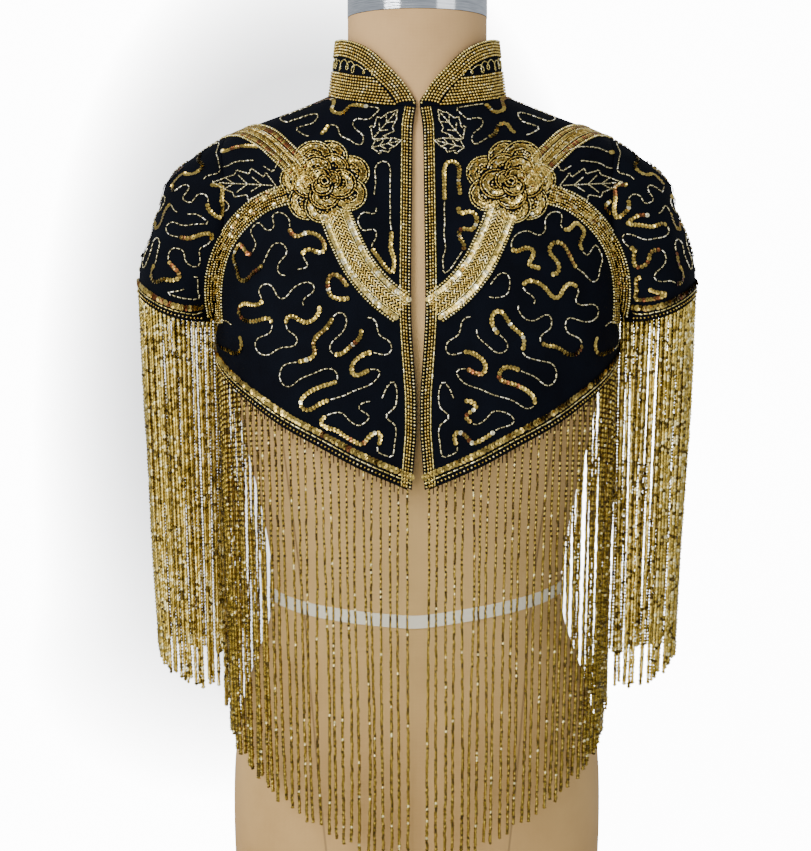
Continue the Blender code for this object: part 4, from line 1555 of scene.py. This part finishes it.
def leaf(base, tip, half, teeth):
    """Plan lines of a serrated leaf: its two edges, its midrib and its side veins."""
    base, tip = np.array(base), np.array(tip)
    way = tip - base
    across = np.array([-way[1], way[0]]) / np.linalg.norm(way)
    lines = [np.stack([base + way * t for t in np.linspace(0.05, 0.9, 6)])]
    for side in (1, -1):
        edge = [base]
        for k in range(teeth):
            t = (k + 0.75) / (teeth + 0.4)
            wide = half * math.sin(math.pi * min(t + 0.08, 1.0)) ** 0.8
            edge.append(base + way * t + across * side * wide)
            edge.append(base + way * (t + 0.03) + across * side * wide * 0.66)
        edge.append(tip)
        lines.append(np.stack(edge))
    for k in range(1, teeth):
        t = k / (teeth + 0.6)
        for side in (1, -1):
            start = base + way * t
            wide = half * 0.55 * math.sin(math.pi * (t + 0.1))
            end = base + way * (t + 0.16) + across * side * wide
            lines.append(np.stack([start, end]))
    return lines


# The leaves of the wearer's left front and of the back's left half, in x and z: where each starts
# and ends, its half width and how many teeth it has on either side
LEAVES = (
    ((0.113, 0.613), (0.168, 0.617), 0.0130, 4),
    ((0.036, 0.650), (0.016, 0.674), 0.0095, 3),
    ((0.037, 0.643), (0.013, 0.649), 0.0070, 3),
)
BACK_LEAVES = (
    ((0.070, 0.600), (0.118, 0.628), 0.0120, 4),
    ((0.052, 0.585), (0.016, 0.560), 0.0110, 4),
)


def tree_of(points):
    """A search tree of points in two or three coordinates."""
    tree = KDTree(len(points))
    for k, point in enumerate(points):
        tree.insert((*point, 0.0)[:3], k)
    tree.balance()
    return tree


def nearest_in(tree, points):
    """How far each point is from the tree's nearest one, and which one that is."""
    found = [tree.find((*point, 0.0)[:3]) for point in points]
    return np.array([away for _, _, away in found]), np.array([index for _, index, _ in found])


def distance_to(points, line):
    """How far each point is from a line of points."""
    return nearest_in(tree_of(np.asarray(line)), points)[0]


def raster(low, high, step):
    """The points of a plan raster."""
    xs, ys = np.arange(low[0], high[0], step), np.arange(low[1], high[1], step)
    return np.stack(np.meshgrid(xs, ys, indexing="ij"), axis=-1).reshape(-1, 2)


def free_cells(ground, rays, only, grid, blocked):
    """Whether each point of a raster is cloth that no motif, a line and its margin, takes."""
    _, _, found = ground.cast(*rays(grid), only)
    for line, half in blocked:
        found &= distance_to(grid, line) > half
    return found


class Plot:
    """Free cloth in plan: how far each of its cells is from its edge, and the way from the edge."""

    def __init__(self, grid, free, step):
        self.low, self.step = grid.min(axis=0), step
        self.shape = tuple(np.round((grid.max(axis=0) - self.low) / step).astype(int) + 1)
        self.cells, taken = grid[free], grid[~free]
        self.away = np.full(self.shape, -step)
        self.way = np.zeros((*self.shape, 2))
        for cells, others, sign in ((self.cells, taken, 1), (taken, self.cells, -1)):
            away, nearest = nearest_in(tree_of(others), cells)
            index = self.index(cells)
            self.away[index] = away * sign
            self.way[index] = unit((cells - others[nearest]) * sign)

    def index(self, points):
        """The raster cell of each point."""
        cell = np.round((points - self.low) / self.step).astype(int)
        return tuple(np.clip(cell, 0, np.array(self.shape) - 1).T)

    def room(self, points):
        """How far points are from the free cloth's edge, and the way from it."""
        index = self.index(points)
        return self.away[index], self.way[index]


# How the meander grows. Lengths are shares of a link, the length between two points of a loop,
# and strengths are shares of a full step.
LINK = 0.26  # a link, as a share of the spacing
FULL = 1.45  # the loops' full length, as a share of what the spacing allows
ROUNDS = 360
CALM_ROUNDS = 20  # rounds in which full loops settle
NEIGHBOURS = 3  # points that are so few links apart don't push each other
DRAW = 0.36  # how strongly neighbours draw together
PUSH, PUSH_MOST = 0.5, 0.35
EDGE_MARGIN, EDGE_PUSH = 0.0052, 0.7  # in metres from the free cloth's edge, and how strongly
SHAKE = 0.03
SPLIT_FROM = 1.6  # a longer link is split
BUD_FROM, BUD_CROWD, BUD_CHANCE = 0.5, 1.3, 0.05  # and now and then a shorter one with room


def grown(plot, seeds, spacing, rng):
    """Loops that lengthen until they fill the free cloth in soft lobes.

    In each round new points come in, neighbours draw together, and points that are close
    but not neighbours push each other away, as does the edge.
    """
    link = spacing * LINK
    most = len(plot.cells) * plot.step**2 / spacing / link * FULL
    loops, settling = [], 0
    for seed in seeds:
        turn = np.linspace(0, 2 * math.pi, 12, endpoint=False)
        wobble = link * (1.6 + 0.5 * np.sin(2 * turn + seed[0] * 900))
        circle = np.stack([np.cos(turn), np.sin(turn)], axis=1)
        loops.append(np.array(seed) + circle * wobble[:, None])
    for _ in range(ROUNDS):
        points = np.concatenate(loops).astype(np.float32)
        sizes = [len(loop) for loop in loops]
        settling += len(points) > most
        if settling > CALM_ROUNDS:
            break
        owner = np.repeat(np.arange(len(loops)), sizes)
        place = np.concatenate([np.arange(n) for n in sizes])
        count = np.repeat(sizes, sizes)
        wide = points[:, 0, None] - points[None, :, 0]
        high = points[:, 1, None] - points[None, :, 1]
        away = np.sqrt(wide * wide + high * high) + 1e-6
        apart = np.abs(place[:, None] - place[None])
        apart = np.minimum(apart, count[:, None] - apart)
        beside_it = (owner[:, None] == owner[None]) & (apart <= NEIGHBOURS)
        near = (away < spacing) & ~beside_it
        force = np.where(near, (1 - away / spacing) / away, 0.0)
        push = np.stack([(wide * force).sum(axis=1), (high * force).sum(axis=1)], axis=1)
        push = push * link * PUSH
        size = np.linalg.norm(push, axis=1, keepdims=True)
        push *= np.minimum(1.0, link * PUSH_MOST / np.maximum(size, 1e-9))
        crowd = (force * away).sum(axis=1)
        room, way = plot.room(points)
        wall = way * np.clip(EDGE_MARGIN - room, 0.0, link)[:, None] * EDGE_PUSH
        start, made = 0, []
        for loop in loops:
            end = start + len(loop)
            before, after = np.roll(loop, 1, axis=0), np.roll(loop, -1, axis=0)
            moved = loop + ((before + after) / 2 - loop) * DRAW
            moved = moved + push[start:end] + wall[start:end]
            moved += rng.normal(0, link * SHAKE, moved.shape)
            after = np.roll(moved, -1, axis=0)
            long = np.linalg.norm(after - moved, axis=1)
            roomy = (crowd[start:end] < BUD_CROWD) & (long > link * BUD_FROM)
            buds = (rng.random(len(moved)) < BUD_CHANCE) & roomy
            split = (long > link * SPLIT_FROM) | buds
            at = np.flatnonzero(split & (settling == 0)) + 1
            made.append(np.insert(moved, at, (moved[at - 1] + after[at - 1]) / 2, axis=0))
            start = end
        loops = made
    return loops


def seeds_in(plot, apart, least):
    """Places well inside the free cloth, and well apart, where loops start."""
    room, _ = plot.room(plot.cells)
    order = np.argsort(-room, kind="stable")
    seeds = []
    for k in order:
        if room[k] < least:
            break
        if all(np.linalg.norm(plot.cells[k] - seed) > apart for seed in seeds):
            seeds.append(plot.cells[k])
    return seeds


# The meander is grown twice, in the free cloth and in what is left of it: how far apart its loops
# start, how far from the edge, and the shortest loop that stays
GROWTHS = ((0.060, 0.0085, 0.0), (0.030, 0.0070, 0.042))
LEAST_CELLS = 30
LOOP_GAP = 3  # points of a loop that are left out where it is opened
TAKEN = 0.55  # how far a line takes the cloth beside it, as a share of the spacing


def meander(grid, free, step, spacing, rng):
    """Open plan lines that wander over the free cloth without crossing."""
    lines, free = [], free.copy()
    for apart, least, shortest in GROWTHS:
        if free.sum() < LEAST_CELLS:
            break
        plot = Plot(grid, free, step)
        for loop in grown(plot, seeds_in(plot, apart, least), spacing, rng):
            cut = int(rng.integers(len(loop)))
            for _ in range(3):
                loop = (np.roll(loop, 1, axis=0) + 2 * loop + np.roll(loop, -1, axis=0)) / 4
            opened = np.roll(loop, -cut, axis=0)[: max(6, len(loop) - LOOP_GAP)]
            line = spaced(rounded(opened, parts=4))
            if run_length(line)[-1] > shortest:
                lines.append(line)
        for line in lines:
            free &= distance_to(grid, line[::3]) > spacing * TAKEN
    return lines


def varied(lines, shift):
    """The same lines, drawn a little differently by another hand."""
    made = []
    for line in lines:
        phase = line / 0.031 + shift
        made.append(line + np.stack([np.sin(phase[:, 1]), np.cos(phase[:, 0])], axis=1) * 0.0013)
    return made


# How far each motif keeps the meander away from its line
FRONT_BAND_MARGIN, ARM_BAND_MARGIN, SHOULDER_BAND_MARGIN = 0.0125, 0.0080, 0.0100
EDGE_TRIM_MARGIN, HEM_TRIM_MARGIN, BACK_HEM_MARGIN = 0.0122, 0.0145, 0.0135
LEAF_MARGIN, SLEEVE_BAND_MARGIN, SLEEVE_HEM_MARGIN = 0.0030, 0.0090, 0.0140
SLEEVE_LOW, SLEEVE_HIGH = (-0.124, -0.086), (0.124, 0.114)
FRONT_LOW, BACK_LOW, BODY_HIGH = (-0.006, 0.366), (-0.004, 0.405), (0.156, 0.702)
CELL, BACK_CELL = 0.002, 0.0025  # the rasters' steps

LEAF_BUGLES = dict(
    model="bugle", pitch=0.0033, size=(0.0031, 0.0012, 0.0012), lift=0.0006, tints=(0.35, 0.9),
    finish=silver_beads,
)


class BOLERO_OT_meander(bpy.types.Operator):
    """Lays the leaves and the wandering lines of bugles and sequins"""

    bl_idname = "bolero.meander"
    bl_label = "Meander and leaves"

    def execute(self, context):
        self.beads = context.scene.bolero_beads
        self.rng = seeded(53)
        self.ground = Ground(*BODICE)
        front, leaves = self.front_plan()
        sleeve = self.sleeve_plan()
        for side, half in SIDES:
            self.heap = Heap(silver_beads, sequin_film)
            self.laid_out(f"front_{half}", from_front, side, leaves, front, 0.7)
            self.heap.sewn(f"meander_front_{half}")
            self.heap = Heap(silver_beads, sequin_film)
            self.laid_out(f"sleeve_{half}", from_sleeve(side), side, (), sleeve, 1.9)
            self.heap.sewn(f"meander_sleeve_{half}")
        self.heap = Heap(silver_beads, sequin_film)
        back, leaves = self.back_plan()
        for side, _ in SIDES:
            self.laid_out("back", from_back, side, leaves, back, 2.6)
        self.heap.sewn("meander_back")
        return {"FINISHED"}

    def laid_out(self, node, rays, side, leaves, lines, shift):
        """One half's leaves and lines, with the right half's lines a little different."""
        for line in leaves:
            for part in laid(self.ground, rays, line * (side, 1.0)):
                strung(self.heap, part, self.rng, **LEAF_BUGLES)
        for line in lines if side > 0 else varied(lines, shift):
            self.by_turns(rays, line * (side, 1.0), node)

    def front_plan(self):
        """The meander and the leaves of the wearer's left front, in x and z."""
        turn = np.linspace(0, 2 * math.pi, 60)
        rose = [ROSE_X + ROSE_WIDE * np.cos(turn), ROSE_Z + ROSE_TALL * np.sin(turn)]
        leaves = [line for spec in LEAVES for line in leaf(*spec)]
        blocked = [
            (np.stack(rose, axis=1), 0.002),
            (np.array([[ROSE_X, ROSE_Z]]), ROSE_WIDE),
            (spaced(rounded(FRONT_BAND), PLAIN), FRONT_BAND_MARGIN),
            (spaced(rounded(ARM_BAND), PLAIN), ARM_BAND_MARGIN),
            (spaced(rounded(SHOULDER_BAND), PLAIN), SHOULDER_BAND_MARGIN),
            (spaced(front_edge_of("front_left"), PLAIN)[:, [0, 2]], EDGE_TRIM_MARGIN),
            (spaced(hem_of("front_left"), PLAIN)[:, [0, 2]], HEM_TRIM_MARGIN),
            *((spaced(line, PLAIN), LEAF_MARGIN) for line in leaves),
        ]
        grid = raster(FRONT_LOW, BODY_HIGH, CELL)
        free = free_cells(self.ground, from_front, "front_left", grid, blocked)
        return meander(grid, free, CELL, self.beads.meander, self.rng), leaves

    def sleeve_plan(self):
        """The meander of the wearer's left sleeve, flat over the sleeve."""
        grid = raster(SLEEVE_LOW, SLEEVE_HIGH, CELL)
        at, _, found = self.ground.cast(*from_sleeve(1)(grid), "sleeve_left")
        band = spaced(rounded(ARM_BAND), PLAIN)
        on_band = (at[:, 1] < 0) & (distance_to(at[:, [0, 2]], band) < SLEEVE_BAND_MARGIN)
        hem = spaced(hem_of("sleeve_left"), 0.003)
        free = found & ~on_band & (distance_to(at, hem) > SLEEVE_HEM_MARGIN)
        return meander(grid, free, CELL, self.beads.meander, self.rng)

    def back_plan(self):
        """The meander and the leaves of the back's left half, in x and z."""
        leaves = [line for spec in BACK_LEAVES for line in leaf(*spec)]
        blocked = [
            (spaced(hem_of("back"), PLAIN)[:, [0, 2]], BACK_HEM_MARGIN),
            *((spaced(line, PLAIN), LEAF_MARGIN) for line in leaves),
        ]
        grid = raster(BACK_LOW, BODY_HIGH, BACK_CELL)
        free = free_cells(self.ground, from_back, "back", grid, blocked) & (grid[:, 0] > 0.001)
        return meander(grid, free, BACK_CELL, self.beads.meander, self.rng), leaves

    def by_turns(self, rays, line, only):
        """One line, by turns as bugles and as overlapping sequins."""
        beads, rng = self.beads, self.rng
        bugles = bugle_row(beads, 1.02, (0.2, 0.95), silver_beads, 0.86)
        sequins = dict(
            model="sequin", pitch=beads.sequin * 0.76,
            size=(beads.sequin, beads.sequin, beads.sequin * 0.9), lift=0.0009, finish=sequin_film,
            lean=0.24,
        )
        total = run_length(line)[-1]
        at, beaded = 0.0, bool(rng.integers(2))
        while at < total - 0.006:
            end = rng.uniform(0.045, 0.100) if beaded else rng.uniform(0.030, 0.070)
            end = min(total, at + end)
            piece = along(line, np.linspace(at, end, max(4, int((end - at) / FINE))))
            for part in laid(self.ground, rays, piece, only):
                if beaded:
                    strung(self.heap, part, rng, **bugles)
                    continue
                for third in range(3):
                    least = rng.choice((-0.12, 0.08, 0.18, 0.30))
                    tints, share = (least, least + 0.35), (third / 3, (third + 1) / 3)
                    strung(self.heap, part, rng, tints=tints, part=share, **sequins)
            at, beaded = end + 0.0012, not beaded


# The fringe

LONG_EDGE = 0.15  # the CAD strands' long edges are longer than this
TIP_WIDE = 0.01  # and those round their ends are shorter than this


def strands_of(node):
    """The middle of each strand's root and of its end, from the CAD mesh of a fringe."""
    mesh = bmesh.new()
    mesh.from_mesh(frame["nodes"][node].data)
    bmesh.ops.remove_doubles(mesh, verts=mesh.verts, dist=SAME_POINT)
    found, seen = [], set()
    for vert in mesh.verts:
        far_ends = [e.other_vert(vert) for e in vert.link_edges if e.calc_length() > LONG_EDGE]
        is_root = any(other.co.z < vert.co.z for other in far_ends)
        if not far_ends or vert.index in seen or is_root:
            continue
        tip, stack = {vert}, [vert]
        while stack:
            here = stack.pop()
            for edge in here.link_edges:
                other = edge.other_vert(here)
                if edge.calc_length() < TIP_WIDE and other not in tip:
                    tip.add(other)
                    stack.append(other)
        seen |= {v.index for v in tip}
        root = {e.other_vert(v) for v in tip for e in v.link_edges if e.calc_length() > LONG_EDGE}
        found.append(tuple(np.mean([v.co for v in ends], axis=0) for ends in (root, tip)))
    mesh.free()
    return found


def in_order(strands):
    """The strands from one end of their hem to the other."""
    roots = np.array([root for root, _ in strands])
    left = list(range(len(roots)))
    here = int(np.argmax(np.linalg.norm(roots - roots.mean(axis=0), axis=1)))
    order = []
    while left:
        here = min(left, key=lambda k: np.linalg.norm(roots[k] - roots[here]))
        left.remove(here)
        order.append(here)
    return [strands[k] for k in order]


ROOT_LIFT = 0.0020  # a strand's beads start this far above its root in the solid
TAPE_TALL, TAPE_HALF = 0.0014, 0.0010  # the hem tape's height and half its thickness
THREAD, THREAD_DROP = 0.0004, 0.0050  # the loops' half width, and how far they hang

# Each place's fringe: how wide its strands are and how long their beads, as shares of the sizes
# that a user may change, the corners of a bead, and whether they are the dark ones
STRANDS = {
    "front": (0.66, 0.72, 3, True),
    "back": (0.90, 1.15, 3, False),
    "sleeve": (1.04, 1.0, 4, False),
}


def strand_mesh(strands, wide, bead, sides, dark, rng):
    """Strings of beads from root to end, as arrays for one joined mesh.

    Dark ones are mostly shaded, with lighter beads by turns and a few given the palest tint, a painted
    glint.
    """
    points, faces, tints, start = [], [], [], 0
    for root, end in strands:
        total = np.linalg.norm(end - root)
        rings = 2 * int(total / bead) + 1
        t = np.linspace(0.0, 1.0, rings)
        sway = rng.normal(0, 0.0006, (2, 2))
        bow = np.sin(math.pi * t)[:, None] * sway[0]
        bow = bow + np.sin(2 * math.pi * t)[:, None] * sway[1]
        centre = root + (end - root) * t[:, None]
        centre[:, :2] += bow + rng.normal(0, wide * 0.22, 2) * np.minimum(1.0, t * 3)[:, None]
        # A front's strands are fuller near its side and towards their ends
        fuller = 1.0
        if dark:
            fuller = 1 + 0.5 * np.clip((abs(root[0]) - 0.10) / 0.05, 0, 1) + 0.4 * t
        radius = np.where(np.arange(rings) % 2 == 0, 0.29, 0.50) * wide * fuller
        radius = radius * rng.uniform(0.86, 1.12, rings)
        radius[-1] = wide * 0.12
        turn = np.cumsum(rng.uniform(-0.5, 0.5, rings))[:, None]
        turn = turn + np.arange(sides) * 2 * math.pi / sides
        ring = np.stack([np.cos(turn), np.sin(turn), np.zeros_like(turn)], axis=-1)
        ring = ring * radius[:, None, None]
        points.append((centre[:, None, :] + ring).reshape(-1, 3))
        k, m = np.meshgrid(np.arange(rings - 1), np.arange(sides), indexing="ij")
        n = (m + 1) % sides
        here, below = k * sides, (k + 1) * sides
        quad = np.stack([here + m, below + m, below + n, here + n], axis=-1)
        faces.append(quad.reshape(-1, 4) + start)
        shade = 0.20 + rng.random(rings // 2 + 1) * 0.58 + rng.normal(0, 0.04)
        if dark:
            by_turns = 0.32 - 0.24 * np.minimum(1.0, np.linspace(0.0, 2.0, len(shade)))
            shade = shade * 0.45 + by_turns * (1 - 2 * (np.arange(len(shade)) % 2))
        # Some beads take the darkest tint and a few the palest, a painted glint
        chance = rng.random(len(shade))
        shade = np.where(chance > 0.88, 0.0, shade)
        shade = np.where(chance < (0.03 if dark else 0.12), 1.0, shade)
        tints.append(np.repeat(shade[np.arange(rings - 1) // 2], sides))
        first = np.arange(sides) + start
        last = (rings - 1) * sides + np.arange(sides)[::-1] + start
        faces += [first[None], last[None]]
        tints += [np.array([0.3])] * 2
        start += rings * sides
    return np.concatenate(points), faces, tints


def hem_tape(strands, points, faces):
    """The black tape along the strands' roots, and the thread loops that hang between them."""
    roots = np.array([root for root, _ in strands])
    ahead = unit(np.gradient(roots, axis=0) * (1, 1, 0))
    out = np.stack([ahead[:, 1], -ahead[:, 0], np.zeros(len(roots))], axis=1) * TAPE_HALF
    tall = (0, 0, TAPE_TALL)
    rows = [roots + out + tall, roots + out, roots - out, roots - out + tall]
    start, count = len(points), len(roots)
    k = np.arange(count - 1)
    for m in range(4):
        n = (m + 1) % 4
        quad = np.stack([m * count + k, m * count + k + 1, n * count + k + 1, n * count + k], axis=1)
        faces.append(quad + start)
    points = np.concatenate([points, *rows])
    start = len(points)
    middle = (roots[k] + roots[k + 1]) / 2
    drop = THREAD_DROP * (1 + 0.25 * np.sin(1.7 * np.arange(len(k))))
    ring = [
        middle + (x * THREAD, y * THREAD, 0.0) - drop[:, None] * (0, 0, share)
        for share in (0.0, 1.0)
        for x, y in ((-1, -1), (1, -1), (1, 1), (-1, 1))
    ]
    count = len(k)
    at = np.arange(count) + start
    for m in range(4):
        n = (m + 1) % 4
        corners = [at + corner * count for corner in (m, n, n + 4, m + 4)]
        faces.append(np.stack(corners, axis=1))
    faces.append(np.stack([at + m * count for m in (4, 5, 6, 7)], axis=1))
    return np.concatenate([points, *ring]), faces


class BOLERO_OT_fringe(bpy.types.Operator):
    """Strings the bead fringes"""

    bl_idname = "bolero.fringe"
    bl_label = "Bead fringes"

    def execute(self, context):
        beads = context.scene.bolero_beads
        rng = seeded(67)
        for panel in BODICE:
            node = f"fringe_{panel}"
            wide, bead, sides, dark = STRANDS[panel.split("_")[0]]
            strands = in_order([(root + (0, 0, ROOT_LIFT), end) for root, end in strands_of(node)])
            points, faces, tints = strand_mesh(
                strands, beads.strand * wide, beads.strand_bead * bead, sides, dark, rng
            )
            chosen = [np.zeros(len(block), int) for block in faces]
            points, faces = hem_tape(strands, points, faces)
            for block in faces[len(chosen) :]:
                tints.append(np.full(len(block), 0.5))
                chosen.append(np.ones(len(block), int))
            finishes = (strand_beads, thread_black)
            piece = joined(f"strands_{panel}", points, faces, tints, chosen, finishes)
            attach(piece, "root")
            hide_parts(node)
        return {"FINISHED"}


# The studio

# Each soft light: where it is, what it looks at, how wide it is and whose power it has
LAMPS = {
    "Key at the left": ((-1.5, -1.7, 1.7), (0.0, 0.0, 0.5), 1.1, "key"),
    "Fill at the right": ((1.6, -1.5, 0.9), (0.0, 0.0, 0.5), 1.2, "fill"),
    "Bounce from the floor": ((-0.7, -1.7, 0.15), (0.0, 0.0, 0.25), 1.4, "bounce"),
}
AIR_STRENGTH = 0.80
CAMERA_PLACE = (-0.0099, -1.344, 0.560)
CAMERA_DOWN = 6.3  # degrees below level
LENS = 66.2  # mm, for a frame 36 mm wide
SWEEP_HALF = 4.0  # from the middle of the paper sweep to its sides and to its front
SWEEP_BEND, SWEEP_RADIUS = 1.0, 0.7  # where it starts to rise, and how softly
SWEEP_TOP = 3.5


class BOLERO_OT_stage(bpy.types.Operator):
    """Sets up the floor, the light and the camera"""

    bl_idname = "bolero.stage"
    bl_label = "Studio"

    def execute(self, context):
        studio = context.scene.bolero_studio
        paper_sweep()
        world = bpy.data.worlds.new("Pale studio air")
        context.scene.world = world
        world.use_nodes = True
        air = world.node_tree.nodes["Background"].inputs
        air["Color"].default_value = (*studio.air, 1.0)
        air["Strength"].default_value = AIR_STRENGTH
        for name, (place, aim, size, power) in LAMPS.items():
            lamp(name, place, aim, size, getattr(studio, power))

        eye = bpy.data.cameras.new("Camera")
        eye.lens = LENS
        eye.sensor_width = 36.0
        eye.sensor_fit = "AUTO"
        eye.clip_start = 0.05
        eye.clip_end = 30.0
        camera = bpy.data.objects.new("Camera", eye)
        camera.location = CAMERA_PLACE
        camera.rotation_euler = (math.radians(90 - CAMERA_DOWN), 0.0, 0.0)
        context.scene.collection.objects.link(camera)
        context.scene.camera = camera
        return {"FINISHED"}


def paper_sweep():
    """A roll of paper that covers the floor and rises in a soft bend behind the form."""
    bpy.ops.object.select_all(action="DESELECT")
    bpy.ops.mesh.primitive_plane_add(size=2.0)
    sweep = bpy.context.object
    sweep.name = "paper_sweep"
    profile = [(-SWEEP_HALF, 0.0), (SWEEP_BEND, 0.0)]
    for k in range(1, 13):
        turn = math.radians(90 * k / 12)
        back = SWEEP_BEND + SWEEP_RADIUS * math.sin(turn)
        profile.append((back, SWEEP_RADIUS - SWEEP_RADIUS * math.cos(turn)))
    profile.append((SWEEP_BEND + SWEEP_RADIUS, SWEEP_TOP))
    mesh = bmesh.new()
    ends = (-SWEEP_HALF, SWEEP_HALF)
    rows = [[mesh.verts.new((x, y, z)) for x in ends] for y, z in profile]
    for a, b in zip(rows, rows[1:]):
        mesh.faces.new((a[0], a[1], b[1], b[0]))
    mesh.to_mesh(sweep.data)
    mesh.free()
    sweep.data.materials.append(shared(studio_paper))
    for face in sweep.data.polygons:
        face.use_smooth = True
    sweep.visible_diffuse = False
    sweep.visible_glossy = False
    return sweep


def lamp(name, place, aim, size, power):
    """A soft square light that looks at a point."""
    light = bpy.data.lights.new(name, "AREA")
    light.size = size
    light.energy = power
    holder = bpy.data.objects.new(name, light)
    holder.location = place
    way = Vector(aim) - Vector(place)
    holder.rotation_euler = way.to_track_quat("-Z", "Y").to_euler()
    bpy.context.scene.collection.objects.link(holder)


# An empty step


class BOLERO_OT_declare(bpy.types.Operator):
    """An empty step that changes nothing"""

    bl_idname = "bolero.declare"
    bl_label = "Cloth facts"

    def execute(self, context):
        return {"FINISHED"}


# The add-on

class BOLERO_PT_panel(bpy.types.Panel):
    """Lists the steps that build the bolero"""

    bl_idname = "BOLERO_PT_panel"
    bl_label = "Bolero"
    bl_space_type = "VIEW_3D"
    bl_region_type = "UI"
    bl_category = "Bolero"

    def draw(self, context):
        scene = context.scene
        for group in (scene.bolero_cloth, scene.bolero_beads, scene.bolero_studio):
            box = self.layout.box()
            for name in group.__annotations__:
                box.prop(group, name)
        for operator in OPERATORS:
            self.layout.operator(operator.bl_idname)


OPERATORS = (
    BOLERO_OT_form,
    BOLERO_OT_cloth,
    BOLERO_OT_collar,
    BOLERO_OT_trims,
    BOLERO_OT_roses,
    BOLERO_OT_bands,
    BOLERO_OT_meander,
    BOLERO_OT_fringe,
    BOLERO_OT_declare,
    BOLERO_OT_stage,
)
GROUPS = (BoleroCloth, BoleroBeads, BoleroStudio)


def register():
    for group in GROUPS:
        bpy.utils.register_class(group)
    bpy.types.Scene.bolero_cloth = bpy.props.PointerProperty(type=BoleroCloth)
    bpy.types.Scene.bolero_beads = bpy.props.PointerProperty(type=BoleroBeads)
    bpy.types.Scene.bolero_studio = bpy.props.PointerProperty(type=BoleroStudio)
    for operator in OPERATORS:
        bpy.utils.register_class(operator)
    bpy.utils.register_class(BOLERO_PT_panel)


def unregister():
    bpy.utils.unregister_class(BOLERO_PT_panel)
    for operator in reversed(OPERATORS):
        bpy.utils.unregister_class(operator)
    del bpy.types.Scene.bolero_studio
    del bpy.types.Scene.bolero_beads
    del bpy.types.Scene.bolero_cloth
    for group in reversed(GROUPS):
        bpy.utils.unregister_class(group)


def main():
    register()
    for operator in OPERATORS:
        group, name = operator.bl_idname.split(".")
        getattr(getattr(bpy.ops, group), name)()


if __name__ == "__main__":
    main()
